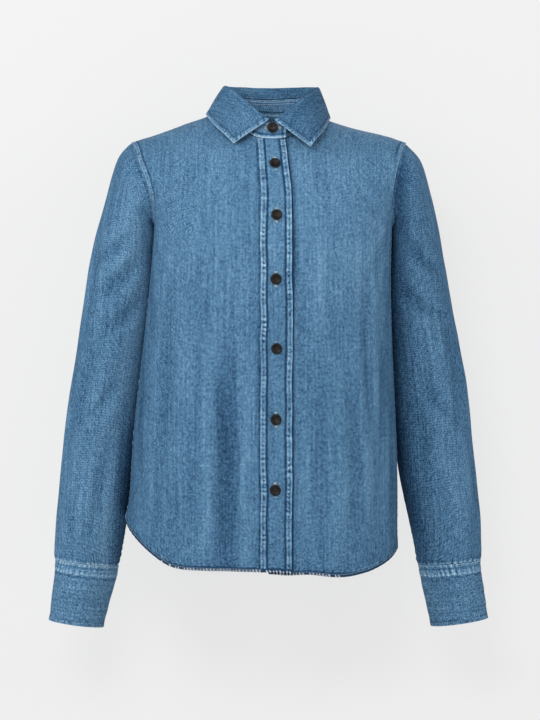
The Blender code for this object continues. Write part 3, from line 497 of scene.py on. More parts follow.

# Painted light and shade on each sleeve where it turns in against the body: painted light beside the
# chest and painted shade below the waist; and painted shade on the inner half of its front, negative on the
# right, where it paints light.
SLOT_PAINTED_SHADING = {"right": (0.30, -0.46), "left": (0.06, -0.14)}
INNER_PAINTED_SHADING = {"right": -0.14, "left": 0.15}

# Studio: each lamp's place, its width and height, and its power
FLOOR_Z = -0.90
FLOOR_HALF = 6
WALL_Y = 0.150
WALL_WIDTH = 9.0
ROOM_RADIUS = 14.0
PAPER = (0.13, 0.13, 0.13)
PAPER_GLOW = 0.716
SKY = (0.80, 0.80, 0.81)
SKY_STRENGTH = 0.38
CAMERA_AT = (0, -3.2, -0.3213)
LENS = 79.01              # millimetres
SENSOR = 18
LAMP_AIM = (0, 0, -0.32)
LAMPS = (
    ("left", (-2.6, -1.7, 1.1), 1.2, 1.2, 40),
    ("right", (2.6, -1.7, 0.9), 1.2, 1.2, 30),
    ("front", (-0.6, -2.3, 1.0), 1.2, 0.8, 42),
    ("back", (0.5, 3.4, 1.6), 2.6, 2.6, 110),
)

# The cut of each piece of cloth that shows: how thick its wall is, its flat size and its area.
CUT = {
    "right_front": (CLOTH, (0.245, 0.640), 0.146),
    "left_front": (CLOTH, (0.215, 0.640), 0.128),
    "back": (CLOTH, (0.500, 0.530), 0.236),
    "yoke": (CLOTH, (0.430, 0.150), 0.043),
    "right_sleeve": (CLOTH, (0.420, 0.600), 0.166),
    "left_sleeve": (CLOTH, (0.420, 0.600), 0.164),
    "right_cuff": (DOUBLED, (0.235, 0.086), 0.0195),
    "left_cuff": (DOUBLED, (0.235, 0.086), 0.0195),
    "placket": (DOUBLED, (0.041, 0.580), 0.0232),
    "collar_stand": (DOUBLED, (0.440, 0.030), 0.0105),
    "collar_leaf": (DOUBLED, (0.490, 0.085), 0.0300),
}

# Where each line of stitches runs: the seam, how far in from it, and where along it the line starts
STITCH_LINES = {
    "right_front": (("hem", HEM_WIDTH - STITCH_INSIDE, 0.0), ("armhole", ARMHOLE_FELL - 0.0010, 0.045)),
    "left_front": (("hem", HEM_WIDTH - STITCH_INSIDE, 0.0),),
    "back": (
        ("hem", HEM_WIDTH - STITCH_INSIDE, 0.0), ("right_side", 0.0050, 0.0), ("left_side", 0.0050, 0.0),
        ("right_armhole", 0.0045, 0.020), ("left_armhole", 0.0045, 0.020),
    ),
    "yoke": (
        ("right_shoulder", 0.0015, 0.0), ("left_shoulder", 0.0015, 0.0), ("back", 0.0015, 0.0),
        ("back", 0.0060, 0.0), ("right_armhole", 0.0045, 0.0), ("left_armhole", 0.0045, 0.0),
    ),
    "right_sleeve": (("underarm", 0.0050, 0.0),),
    "left_sleeve": (("underarm", 0.0050, 0.0),),
    "placket": (
        ("free", PLACKET_MARGIN - STITCH_INSIDE, 0.0), ("sewn", PLACKET_MARGIN - STITCH_INSIDE, 0.0),
        ("free", 0.0014, 0.0), ("sewn", 0.0014, 0.0),
    ),
    "right_cuff": (("top", 0.0014, 0.0), ("top", 0.0130, 0.0), ("foot", 0.0042, 0.0)),
    "left_cuff": (("top", 0.0014, 0.0), ("top", 0.0130, 0.0), ("foot", 0.0042, 0.0)),
    "collar_stand": (("foot", 0.0018, 0.0), ("end", 0.0020, 0.0)),
    "collar_leaf": (("outline", 0.0038, 0.0),),
}


# ---------------------------------------------------------------- maths

def smooth(xs, ys, x):
    """The value at x of a smooth curve through the points of two columns."""
    if xs[0] > xs[-1]:
        xs, ys = xs[::-1], ys[::-1]
    if x <= xs[0]:
        return ys[0]
    if x >= xs[-1]:
        return ys[-1]
    i = max(k for k in range(len(xs) - 1) if xs[k] <= x)

    def slope(k):
        a, b = max(k - 1, 0), min(k + 1, len(xs) - 1)
        return (ys[b] - ys[a]) / (xs[b] - xs[a])

    width = xs[i + 1] - xs[i]
    t = (x - xs[i]) / width
    rise = slope(i) * width
    fall = slope(i + 1) * width
    return (
        (2 * t**3 - 3 * t**2 + 1) * ys[i]
        + (t**3 - 2 * t**2 + t) * rise
        + (3 * t**2 - 2 * t**3) * ys[i + 1]
        + (t**3 - t**2) * fall
    )


def mix(a, b, t):
    return a + (b - a) * t


def ease(t):
    t = min(max(t, 0.0), 1.0)
    return t * t * (3 - 2 * t)


def side_name(x):
    return "right" if x < 0 else "left"


# ---------------------------------------------------------------- the body's form

def shoulder_z(x):
    """The height of the shoulder seam, drawn on inside the neck as a rounded peak."""
    side = SHOULDER[side_name(x)]
    if abs(x) >= NECK_HALF_WIDTH:
        return smooth(SHOULDER["x"], side, abs(x))
    peak = (SHOULDER["right"][0] + SHOULDER["left"][0]) / 2 + NECK_PEAK
    return mix(peak, side[0], (abs(x) / NECK_HALF_WIDTH) ** 2)


def half_width(x, z):
    return smooth(BODY["z"], BODY[side_name(x)], z)


def angle_of(x, z):
    """The angle round the body's section, in degrees, with the sign of x."""
    share = min(abs(x) / half_width(x, z), 1.0)
    return math.copysign(math.degrees(math.asin(share ** (ROUND / 2))), x)


def fold_depth(angle, z, face):
    """How far the folds carry the cloth in at an angle round the body and a height."""
    depth = 0.0
    for i, side in enumerate(FOLDS["face"]):
        top, foot = FOLDS["start_z"][i], FOLDS["full_z"][i]
        down = (top - z) / (top - foot)
        middle = mix(FOLDS["top_angle"][i], FOLDS["foot_angle"][i], min(max(down, 0.0), FOLD_FOOT))
        across = (angle - middle) / FOLDS["half"][i]
        if side == face and abs(across) < 2:
            depth += FOLDS["depth"][i] * ease(down) * math.exp(-(across**2) * FOLD_CORE)
    return depth


def rounded(drop, fall):
    """How far the body has rounded out, from 0 at the shoulder seam to 1, a drop below it."""
    return math.sqrt(1 - (1 - min(max(drop, 0.0) / fall, 1.0)) ** 2)


def body_y(x, z, face):
    """Where the body's cloth lies at x and z, on its front, face -1, or its back, face +1."""
    reach = smooth(BODY["z"], BODY["front" if face < 0 else "back"], z)
    widest = smooth(BODY["z"], BODY[side_name(x) + "_y"], z) * ease(abs(x) / FLANK_START)
    share = min(abs(x) / half_width(x, z), 1.0)
    stand_out = (reach - widest) * (1 - share**ROUND) ** (1 / ROUND)
    stand_out -= face * fold_depth(angle_of(x, z), z, face)
    drop = shoulder_z(x) - z
    middle = RIDGE_Y + (widest - RIDGE_Y) * rounded(drop, BACK_FALL)
    return middle + face * SEAM_GAP / 2 + stand_out * rounded(drop, FRONT_FALL if face < 0 else BACK_FALL)


def x_of(angle, z):
    share = abs(math.sin(math.radians(angle))) ** (2 / ROUND)
    return math.copysign(share * half_width(angle, z), angle)


def neck_point(angle):
    """The neckline at an angle round from the middle of the front, positive to the wearer's left."""
    turn = math.radians(angle)
    x = NECK_X + (NECK_HALF_WIDTH - abs(NECK_X)) * math.sin(turn)
    face = -1 if math.cos(turn) > 0 else 1
    reach = NECK_FRONT_Y if face < 0 else NECK_BACK_Y
    y = RIDGE_Y + (reach - RIDGE_Y) * abs(math.cos(turn))
    high = shoulder_z(x)
    low = high - NECK_REACH
    for _ in range(30):
        middle = (high + low) / 2
        if abs(body_y(x, middle, face) - RIDGE_Y) < abs(y - RIDGE_Y):
            high = middle
        else:
            low = middle
    if face < 0:
        lowest = NECK_PIT_Z
        high = mix(lowest, high, ease(abs(math.sin(turn)) / math.sin(math.radians(NECK_FLAT))))
        y = body_y(x, high, face)
    return Vector((x, y, high))


def armhole(side, at):
    """x and z of the armhole seam, at 0 under the arm and 1 at the end of the shoulder."""
    x = smooth(ARMHOLE["at"], ARMHOLE[side + "_x"], at) * (-1 if side == "right" else 1)
    z = smooth(ARMHOLE["at"], ARMHOLE[side + "_z"], at)
    return x, mix(z, shoulder_z(x), ease((at - 0.8) / 0.2))


def on_body(x, z, face, out=0.0):
    return Vector((x, body_y(x, z, face) + face * out, z))


# ---------------------------------------------------------------- panels of the body

def row_of(start, end, shares):
    """x and z of a row's points between two ends, at shares of the angle, level with the shoulder."""
    (x0, z0), (x1, z1) = start, end
    angle0, angle1 = angle_of(x0, z0), angle_of(x1, z1)
    drop0, drop1 = shoulder_z(x0) - z0, shoulder_z(x1) - z1
    row = []
    for share in shares:
        angle, drop = mix(angle0, angle1, share), mix(drop0, drop1, share)
        z = mix(z0, z1, share)
        for _ in range(12):
            x = x_of(angle, z)
            z = mix(z, shoulder_z(x) - drop, ROW_STEP)
        row.append((x, z))
    row[0], row[-1] = start, end
    return row


def placket_x(z, share):
    """Across the placket at a height, from its free edge on the wearer's left, 0, to the other, 1."""
    edges = [smooth(PLACKET["z"], PLACKET[name], z) for name in ("left_x", "right_x")]
    return mix(edges[0], edges[1], share)


def closure_shares(side):
    """The columns across the placket, from a front's own edge: the left one starts one step in."""
    shares = [i / CLOSURE_STEPS for i in range(CLOSURE_STEPS + 1)]
    return shares if side == "right" else shares[-2::-1]


def hem_sway(x):
    return HEM_SWAY * noise.noise(Vector((x / HEM_SWAY_SIZE, 0.5, 2.5)))


def front_rows(side):
    """x and z of one front's points, from hem to shoulder and from its own edge to its side.

    The columns across the placket stop at the pit of the neck, so above it they are None.
    """
    sign = -1 if side == "right" else 1
    closure = closure_shares(side)
    missing = [None] * (len(closure) - 1)
    shares = SIDE_SHARES
    turn = (placket_x(NECK_PIT_Z, closure[-1]) - NECK_X) / (NECK_HALF_WIDTH - abs(NECK_X))
    neck_start = math.degrees(math.asin(turn))

    upper = []
    for j in range(ARM_ROWS + 1):
        end = armhole(side, j / ARM_ROWS)
        if j <= PIT_ROW:
            z = mix(UNDERARM_Z, NECK_PIT_Z, j / PIT_ROW)
            across = [(placket_x(z, share), z) for share in closure]
            upper.append(across[:-1] + row_of(across[-1], end, shares))
        else:
            point = neck_point(mix(neck_start, sign * 89.9, (j - PIT_ROW) / (ARM_ROWS - PIT_ROW)))
            upper.append(missing + row_of((point.x, point.z), end, shares))

    lower = []
    for up in BODY_SHARES[:-1]:
        row = []
        for i, (x, z) in enumerate(upper[0]):
            angle = angle_of(x, z)
            hem_z = smooth(FRONT_HEM["angle"], FRONT_HEM[side], angle * sign) + hem_sway(x)
            z_row = mix(hem_z, z, up)
            x_row = placket_x(z_row, closure[i]) if i < len(closure) else x_of(angle, z_row)
            row.append((x_row, z_row))
        lower.append(row)
    return lower + upper


def underlap(x, z):
    """How far the left front lies in, under the right one, and a little more at the neck."""
    edge = placket_x(z, 0)
    depth = CLOTH + LAY_GAP + NECK_UNDERLAP * ease((z - UNDERLAP_Z) / UNDERLAP_RISE)
    return depth * (1 - ease((x - edge - UNDERLAP_EDGE) / UNDERLAP_REACH))


def armhole_share(side, z):
    """Where on the armhole seam a height is reached."""
    low, high = 0.0, 1.0
    for _ in range(30):
        middle = (low + high) / 2
        if armhole(side, middle)[1] < z:
            low = middle
        else:
            high = middle
    return low


def back_points():
    """From the hem up to the yoke's seam."""
    shares = BACK_SHARES
    upper = []
    for j in range(BACK_TOP_ROWS + 1):
        ends = []
        for side in ("right", "left"):
            stop = armhole_share(side, YOKE_SEAM_Z - SEAM_GAP / 2)
            ends.append(armhole(side, stop * j / BACK_TOP_ROWS))
        angles = [angle_of(x, z) for x, z in ends]
        z_row = mix(UNDERARM_Z, YOKE_SEAM_Z - SEAM_GAP / 2, j / BACK_TOP_ROWS)
        row = [(x_of(mix(*angles, share), z_row), z_row) for share in shares]
        row[0], row[-1] = ends
        upper.append(row)
    rows = []
    for up in BODY_SHARES[:-1]:
        row = []
        for x, z in upper[0]:
            angle = angle_of(x, z)
            low = smooth(BACK_HEM["angle"], BACK_HEM[side_name(x)], abs(angle))
            z_row = mix(low, z, up)
            row.append((x_of(angle, z_row), z_row))
        rows.append(row)
    return [[on_body(x, z, 1) for x, z in row] for row in rows + upper]


def yoke_points():
    """From the back of the neckline out to the shoulders, the armholes and the back's seam."""
    outer = []
    for side in ("right", "left"):
        stop = armhole_share(side, YOKE_SEAM_Z + SEAM_GAP / 2)
        leg = [armhole(side, mix(1, stop, i / YOKE_ARM_STEPS)) for i in range(YOKE_ARM_STEPS + 1)]
        outer.append(leg)
    right, left = outer
    angles = [angle_of(*right[-1]), angle_of(*left[-1])]
    seam_z = YOKE_SEAM_Z + SEAM_GAP / 2
    across = [
        (x_of(mix(*angles, i / YOKE_BACK_STEPS), seam_z), seam_z) for i in range(1, YOKE_BACK_STEPS)
    ]
    edge = right + across + left[::-1]
    steps = len(edge) - 1
    columns = []
    for i, (x1, z1) in enumerate(edge):
        point = neck_point(mix(-90.1, -269.9, i / steps))
        drop0, drop1 = shoulder_z(point.x) - point.z, shoulder_z(x1) - z1
        column = []
        for j in range(YOKE_ROWS + 1):
            x = mix(point.x, x1, j / YOKE_ROWS)
            z = shoulder_z(x) - mix(drop0, drop1, j / YOKE_ROWS)
            column.append(on_body(x, z, 1))
        columns.append(column)
    return columns


# ---------------------------------------------------------------- sleeves and cuffs

def clear_of_body(point):
    """A sleeve's point moved out sideways until it is clear of the body beside it."""
    if point.z > UNDERARM_Z:
        return point
    face = -1 if point.y < 0 else 1
    side = side_name(point.x)
    reach = smooth(BODY["z"], BODY["front" if face < 0 else "back"], point.z)
    widest = smooth(BODY["z"], BODY[side + "_y"], point.z)
    share = min(abs((point.y - widest) / (reach - widest)), 1.0)
    limit = half_width(point.x, point.z) * (1 - share**ROUND) ** (1 / ROUND) + SLEEVE_CLEARANCE[side]
    return Vector((math.copysign(max(abs(point.x), limit), point.x), point.y, point.z))


def ring(sections, k, clear=True):
    """One ring of a sleeve or cuff, from its outer edge by way of the front."""
    outer = Vector((sections["outer_x"][k], 0, sections["outer_z"][k]))
    inner = Vector((sections["inner_x"][k], 0, sections["inner_z"][k]))
    middle, reach = (outer + inner) / 2, (outer - inner) / 2
    points = []
    for i in range(SLEEVE_POINTS):
        turn = math.tau * i / SLEEVE_POINTS
        point = middle + reach * math.cos(turn)
        point.y = sections["mid_y"][k] - sections["half_y"][k] * math.sin(turn)
        points.append(clear_of_body(point) if clear else point)
    return points


def armhole_ring(side):
    """The sleeve's seam to the body, a little out from the body's own edge."""
    points = []
    for i in range(SLEEVE_POINTS):
        turn = math.tau * i / SLEEVE_POINTS
        at = (1 + math.cos(turn)) / 2
        x, z = armhole(side, at)
        face = -1 if math.sin(turn) >= 0 else 1
        out = math.copysign(SLEEVE_SEAM_OUT, x)
        points.append(Vector((x + out, body_y(x, z, face), z - SLEEVE_SEAM_DOWN)))
    return points


# ---------------------------------------------------------------- collar

def stand_foot(angle):
    slant = abs(math.sin(math.radians(2 * angle)))
    return neck_point(angle) + Vector((0, 0, STAND_SEAT + STAND_SEAT_MORE * slant))


def stand_top(angle):
    foot = stand_foot(angle)
    lean = Vector((-(foot.x - NECK_X), -(foot.y - STAND_MIDDLE_Y), 0)) * STAND_LEAN
    height = mix(STAND_FRONT_HEIGHT, STAND_HEIGHT, ease(abs(math.sin(math.radians(angle / 2))) * 2))
    level = STAND_LEVELLING * foot.x * ease((abs(angle) - 80) / 60)
    return foot + lean + Vector((0, 0, height + level))


def outward(angle):
    turn = math.radians(angle)
    return Vector((math.sin(turn), -math.cos(turn), 0))


def stand_columns():
    """A band round the neck whose wearer's right end laps over the left one at the front."""
    start, stop = STAND_LAP, -360.0 - STAND_UNDERLAP
    columns = []
    for i in range(NECK_STEPS + 1):
        angle = mix(start, stop, i / NECK_STEPS)
        over = 1 - ease((start - angle) / STAND_EASE)
        under = 1 - ease((angle - stop) / STAND_EASE)
        shift = outward(angle) * STAND_LAYER * (over - under)
        wrapped = angle if angle > -180 else angle + 360
        foot, top = stand_foot(wrapped), stand_top(wrapped)
        columns.append([foot.lerp(top, share) + shift for share in STAND_SHARES])
    return columns


def leaf_clear(point):
    """A point of the leaf moved up or out until it is clear of the shoulders."""
    ridge = shoulder_z(point.x)
    if abs(point.y - RIDGE_Y) < LEAF_ABOVE:
        return Vector((point.x, point.y, max(point.z, ridge + LEAF_CLEARANCE)))
    face = -1 if point.y < RIDGE_Y else 1
    limit = body_y(point.x, min(point.z, ridge), face) + face * LEAF_CLEARANCE
    y = min(point.y, limit) if face < 0 else max(point.y, limit)
    return Vector((point.x, y, point.z))


def leaf_column(side, angle):
    """From the stand's upper edge up to the roll, over it and down to the leaf's outer edge."""
    sections = LEAF[side]
    sign = -1 if side == "right" else 1
    turned = sign * angle
    foot = stand_top(turned) + Vector((0, 0, LEAF_SEAM))
    roll_z = max(smooth(sections["angle"], sections["roll_z"], angle), foot.z + ROLL_LEAST)
    edge = Vector([smooth(sections["angle"], sections[name], angle)
                   for name in ("edge_x", "edge_y", "edge_z")])
    out = outward(turned)
    rise = roll_z - foot.z
    inner = foot + Vector((0, 0, rise * ROLL_INNER))
    top = foot + Vector((0, 0, rise)) + out * ROLL_OUT * ROLL_CROWN
    over = foot + Vector((0, 0, rise * ROLL_OUTER)) + out * ROLL_OUT
    column = [foot, inner, top, over]
    for share in LEAF_SHARES:
        point = over.lerp(edge, share) + out * LEAF_CROWN * math.sin(math.pi * share)
        column.append(leaf_clear(point))
    return column


def leaf_columns():
    first, last = RIGHT_LEAF["angle"][0], 180.0
    half = LEAF_STEPS // 2
    columns = [leaf_column("right", mix(first, last, i / half)) for i in range(half + 1)]
    columns += [leaf_column("left", mix(last, first, i / half)) for i in range(1, half + 1)]
    return columns


# ---------------------------------------------------------------- fine meshes of cloth

def distance(a, b):
    return (Vector(a) - Vector(b)).length


def measured(rows, across_from, middle):
    """Width and length along the cloth, in metres, for each point of a grid."""
    spans = []
    for row in rows:
        span, last, total = [], None, None
        for point in row:
            if point is not None:
                total = across_from(point) if last is None else total + distance(point, last)
                last = point
            span.append(total)
        if middle:
            span = [value - span[len(span) // 2] for value in span]
        spans.append(span)
    lengths = [[0.0] * len(rows[0])]
    for lower, upper in zip(rows, rows[1:]):
        line = []
        for i, below in enumerate(lengths[-1]):
            step = 0.0
            if lower[i] is not None and upper[i] is not None:
                step = distance(lower[i], upper[i])
            line.append(below + step)
        lengths.append(line)
    return spans, lengths


def lay_out(name, rows, inside, closed=False, across_from=lambda point: 0.0, middle=False):
    """A fine smooth mesh through a grid of points, with its place on the cloth as its UV map.

    Its faces look away from the inner point that inside gives for a place on it.
    """
    bm = bmesh.new()
    wide = len(rows[0])
    bmesh.ops.create_grid(bm, x_segments=wide - 1, y_segments=len(rows) - 1, size=1)
    spans, lengths = measured(rows, across_from, middle)
    uv = bm.loops.layers.uv.new("cloth")
    bm.verts.ensure_lookup_table()
    for face in bm.faces:
        for loop in face.loops:
            row, column = divmod(loop.vert.index, wide)
            if rows[row][column] is not None:
                loop[uv].uv = (spans[row][column], lengths[row][column])
    missing = []
    for vert in bm.verts:
        row, column = divmod(vert.index, wide)
        if rows[row][column] is None:
            missing.append(vert)
        else:
            vert.co = rows[row][column]
    bmesh.ops.delete(bm, geom=missing, context="VERTS")
    if closed:
        bmesh.ops.remove_doubles(bm, verts=bm.verts, dist=1e-6)
    bm.normal_update()
    middles = [face.calc_center_median() for face in bm.faces]
    if sum(face.normal.dot(at - inside(at)) for face, at in zip(bm.faces, middles)) < 0:
        bmesh.ops.reverse_faces(bm, faces=bm.faces)
    mesh = bpy.data.meshes.new(name)
    bm.to_mesh(mesh)
    bm.free()
    coarse = bpy.data.objects.new(name + "_coarse", mesh)
    bpy.context.scene.collection.objects.link(coarse)
    finer = coarse.modifiers.new("finer", "SUBSURF")
    finer.levels = FINE_LEVELS
    finer.render_levels = FINE_LEVELS
    finer.boundary_smooth = "PRESERVE_CORNERS"
    finer.uv_smooth = "NONE"
    evaluated = coarse.evaluated_get(bpy.context.evaluated_depsgraph_get())
    fine = bpy.data.meshes.new_from_object(evaluated)
    bpy.data.objects.remove(coarse)
    fine.name = name
    return fine


def drawn_line(line):
    """The smooth curve that the fine mesh's edge follows through a coarse line of points."""
    line = np.array(line)
    limit = line.copy()
    limit[1:-1] = (line[:-2] + 4 * line[1:-1] + line[2:]) / 6
    padded = np.vstack([2 * limit[0] - limit[1], limit, 2 * limit[-1] - limit[-2]])
    points = []
    for i in range(1, len(padded) - 2):
        a, b, c, d = padded[i - 1:i + 3]
        for t in np.arange(EDGE_STEPS) / EDGE_STEPS:
            points.append(0.5 * (
                2 * b + (c - a) * t + (2 * a - 5 * b + 4 * c - d) * t**2 + (3 * b - a - 3 * c + d) * t**3
            ))
    return np.array([*points, limit[-1]])


class Cloth:
    """A fine mesh whose points are moved along its own normals, with what is measured on it."""

    def __init__(self, name, mesh, seams):
        self.name = name
        self.mesh = mesh
        self.count = len(mesh.vertices)
        self.points = np.empty(self.count * 3)
        mesh.vertices.foreach_get("co", self.points)
        self.points = self.points.reshape(-1, 3)
        self.take_normals()
        loops = np.empty(len(mesh.loops), dtype=int)
        mesh.loops.foreach_get("vertex_index", loops)
        places = np.empty(len(mesh.loops) * 2)
        mesh.uv_layers[0].uv.foreach_get("vector", places)
        self.cloth = np.zeros((self.count, 2))
        self.cloth[loops] = places.reshape(-1, 2)
        self.edges = np.empty(len(mesh.edges) * 2, dtype=int)
        mesh.edges.foreach_get("vertices", self.edges)
        self.edges = self.edges.reshape(-1, 2)
        self.seams = {seam: self.from_line(drawn_line(line)) for seam, line in seams.items()}

    def take_normals(self):
        self.mesh.vertices.foreach_set("co", self.points.ravel())
        self.mesh.update()
        normals = np.empty(self.count * 3)
        self.mesh.vertex_normals.foreach_get("vector", normals)
        self.normals = normals.reshape(-1, 3)

    def from_line(self, line):
        """How far each point near a seam lies from it, and how far along the seam."""
        steps = np.linalg.norm(np.diff(line, axis=0), axis=1)
        start = np.concatenate([[0], np.cumsum(steps)])
        away = np.full(self.count, 1.0)
        along = np.zeros(self.count)
        low, high = line.min(0) - SEAM_REACH, line.max(0) + SEAM_REACH
        near = np.flatnonzero(np.all((self.points > low) & (self.points < high), axis=1))
        points = self.points[near]
        least = np.full(len(near), 1.0)
        length = np.zeros(len(near))
        for i, step in enumerate(steps):
            if step < 1e-9:
                continue
            run = (line[i + 1] - line[i]) / step
            off = points - line[i]
            at = np.clip(off @ run, 0, step)
            off -= at[:, None] * run
            far = np.sqrt(np.einsum("ij,ij->i", off, off))
            nearer = far < least
            least[nearer] = far[nearer]
            length[nearer] = start[i] + at[nearer]
        away[near], along[near] = least, length
        return away, along

    def raise_by(self, height):
        """Moves each point out along the cloth's normal."""
        self.points = self.points + self.normals * np.asarray(height)[:, None]
        self.take_normals()

    def mark(self, name, values):
        """Stores a number for each point, for the finish to read."""
        layer = self.mesh.attributes.new(name, "FLOAT", "POINT")
        layer.data.foreach_set("value", np.asarray(values, dtype=np.float32))

    def line_at(self, seam, inset, pitch, start=0.0, stop=None):
        """Points and normals along a line on the cloth, an even distance in from a seam."""
        away, along = self.seams[seam]
        a, b = self.edges[:, 0], self.edges[:, 1]
        crossing = (away[a] - inset) * (away[b] - inset) < 0
        a, b = a[crossing], b[crossing]
        share = ((inset - away[a]) / (away[b] - away[a]))[:, None]
        places = self.points[a] * (1 - share) + self.points[b] * share
        normals = self.normals[a] * (1 - share) + self.normals[b] * share
        at = along[a] * (1 - share[:, 0]) + along[b] * share[:, 0]
        order = np.argsort(at)
        at, places, normals = at[order], places[order], normals[order]
        longest = along.max() if stop is None else stop
        kept = (at > start + 1e-4) & (at < longest - 1e-4)
        at, places, normals = at[kept], places[kept], normals[kept]
        steps = np.arange(start + pitch / 2, longest, pitch)
        steps = steps[(steps >= at[0] - pitch) & (steps <= at[-1] + pitch)]
        line = np.stack([np.interp(steps, at, places[:, k]) for k in range(3)], axis=1)
        out = np.stack([np.interp(steps, at, normals[:, k]) for k in range(3)], axis=1)
        out /= np.linalg.norm(out, axis=1)[:, None]
        return line, out


# ---------------------------------------------------------------- creases and seams

def wander(points, size, seed, stretch=(1, 1, 1)):
    """Smooth unevenness from about -0.6 to 0.6, its patches of one size, stretched by axis."""
    places = points / size / np.array(stretch) + seed * 7.31
    return np.array([noise.noise(Vector(place)) for place in places])


def wander_along(lengths, size, seed):
    """The same along a line."""
    return np.array([noise.noise(Vector((length / size, seed * 3.7, 0.5))) for length in lengths])


def bump(x, width):
    return np.exp(-((x / width) ** 2))


def soft_step(x, start, stop):
    share = np.clip((x - start) / (stop - start), 0, 1)
    return share * share * (3 - 2 * share)


def creases(at, rows):
    """Soft troughs between pairs of points, deepest at their middle, with a low ridge on each side."""
    height = np.zeros(len(at))
    for i, depth in enumerate(rows["depth"]):
        start = np.array([rows["across"][i], rows["z"][i]])
        stop = np.array([rows["to_across"][i], rows["to_z"][i]])
        run = stop - start
        length = np.linalg.norm(run)
        share = (at - start) @ run / length**2
        sway = rows["sway"][i] * np.sin(np.clip(share, 0, 1) * math.pi)
        across = ((at - start) @ np.array([-run[1], run[0]])) / length - sway
        taper = soft_step(share, -0.15, 0.35) * soft_step(-share, -1.15, -0.60)
        width = rows["width"][i]
        ridges = CREASE_RIDGES * bump(np.abs(across) - 1.7 * width, width)
        height += 1.5 * taper * depth * (ridges - bump(across, width))
    return height


def puckers(cloth, seam, inset, pitch, seed):
    """The wavering wrinkles along a line of stitches: their height, from -1 to 1, and their reach."""
    away, along = cloth.seams[seam]
    phase = along / pitch + 1.3 * wander_along(along, pitch * 3.1, seed)
    strength = 0.65 + 1.0 * wander_along(along, pitch * 2.3, seed + 5)
    slant = (away - inset) / 0.030
    return strength * np.sin(math.tau * (phase + slant)), away


def felled(
    cloth, seam, width, rise, seed, pitch=0.0088, pucker=0.0004, below=False,
    worn=1.0, edge=0.75, shade=0.55, mottle=0.0,
):
    """A seam's raised, stitched margin: its height and how much it is worn pale or stays dark.

    Its edge and the cloth along its stitches are rubbed pale, its middle keeps its dye in the
    wrinkles, and the cloth beside the margin is darker, partly dye that the step up to it shields and partly
    painted shade below that step.
    """
    wave, away = puckers(cloth, seam, width, pitch, seed)
    crest, hollow = np.maximum(wave, 0), np.maximum(-wave, 0)
    band = 1 - soft_step(away, width, width + 0.0016)
    near = 1 - soft_step(away, width * 0.4, width + 0.010)
    groove = bump(away - width + 0.0008, 0.0009)
    height = rise * band - GROOVE * groove + pucker * wave * near
    if below:
        height -= LAID_UNDER * (1 - soft_step(away, 0.0, 0.003))
    rim = bump(away, 0.0013)
    middle = bump(away - width * 0.55, width * 0.32)
    by_stitches = bump(away - width + 0.0022, 0.0009)
    # step: painted shade on the cloth beside the margin, below the step up to it
    step = bump(away - width - 0.0008, 0.0013)
    wear_and_shading = edge * rim + 0.12 * band + 0.30 * by_stitches
    wear_and_shading -= middle * (0.16 + 0.60 * hollow)
    wear_and_shading += middle * 0.30 * crest
    wear_and_shading += mottle * band * wander_along(cloth.seams[seam][1], MOTTLE_SIZE, seed + 9)
    wear_and_shading -= shade * step + 0.22 * (near - band).clip(0) * hollow
    return height, wear_and_shading * worn


def rope_hem(cloth, seam, width, seed):
    """A narrow turned hem that has twisted in the wash, so that slanted ridges run across it.

    Where the hem runs level the crests of its ripples are rubbed pale, and where it curves up
    only the cloth above its stitches is.
    """
    away, along = cloth.seams[seam]
    phase = along / HEM_TWIST_PITCH + 0.8 * wander_along(along, 0.03, seed) - away / HEM_TWIST_SLANT
    wave = np.sin(math.tau * phase) * (0.7 + 0.6 * wander_along(along, 0.02, seed + 3))
    crest, hollow = np.maximum(wave, 0), np.maximum(-wave, 0)
    band = 1 - soft_step(away, width, width + 0.0015)
    near = 1 - soft_step(away, width * 0.5, width + 0.012)
    height = HEM_ROUND * band * bump(away - width / 2, width * 0.7) + HEM_RIPPLE * wave * near
    height -= HEM_GROOVE * bump(away - width, 0.0009)
    uneven = 0.70 + 0.9 * wander_along(along, 0.045, seed + 7)
    level = hem_level(cloth.points[:, 0])
    above = bump(away - width - 0.0010, 0.0016)
    wear_and_shading = uneven * level * 0.30 * band * crest - 0.70 * level * band
    wear_and_shading += uneven * level * 0.34 * above * crest
    # the first term is painted shade in the groove above the band; the ripples' hollows keep their dye
    wear_and_shading -= 0.18 * bump(away - width - 0.0006, 0.0012) + 0.40 * near * hollow
    wear_and_shading -= (1 - level) * 0.60 * bump(away - 0.0008, 0.0030)
    wear_and_shading += (1 - level) * uneven * 0.45 * above
    return height, wear_and_shading


def hem_level(x):
    """1 where the hem runs level and is rubbed pale, 0 where it curves up to the sides."""
    return soft_step(x, -0.150, -0.115) * soft_step(-x, -0.120, -0.080)


def rubbed(height):
    """Cloth that stands proud is worn paler, and a trough keeps its dye."""
    return np.clip(RUBBED * height, -0.16, 0.12)


def finish_mesh(cloth, thickness):
    """The object of a cloth's mesh, with its wall's thickness about its own middle."""
    obj = bpy.data.objects.new(cloth.name, cloth.mesh)
    bpy.context.scene.collection.objects.link(obj)
    cloth.mesh.shade_smooth()
    wall = obj.modifiers.new("wall", "SOLIDIFY")
    wall.thickness = thickness
    wall.offset = 0
    wall.use_rim = True
    return obj


# ---------------------------------------------------------------- finishes

class Value:
    """A number or colour in a finish, on which plain arithmetic adds Math nodes."""

    def __init__(self, finish, socket):
        self.finish = finish
        self.socket = socket

    def maths(self, operation, *values):
        return self.finish.add("ShaderNodeMath", {"operation": operation}, *values)

    def __add__(self, other):
        return self.maths("ADD", self, other)

    def __sub__(self, other):
        return self.maths("SUBTRACT", self, other)

    def __mul__(self, other):
        return self.maths("MULTIPLY", self, other)

    def __rsub__(self, other):
        return self.maths("SUBTRACT", other, self)

    __radd__ = __add__
    __rmul__ = __mul__


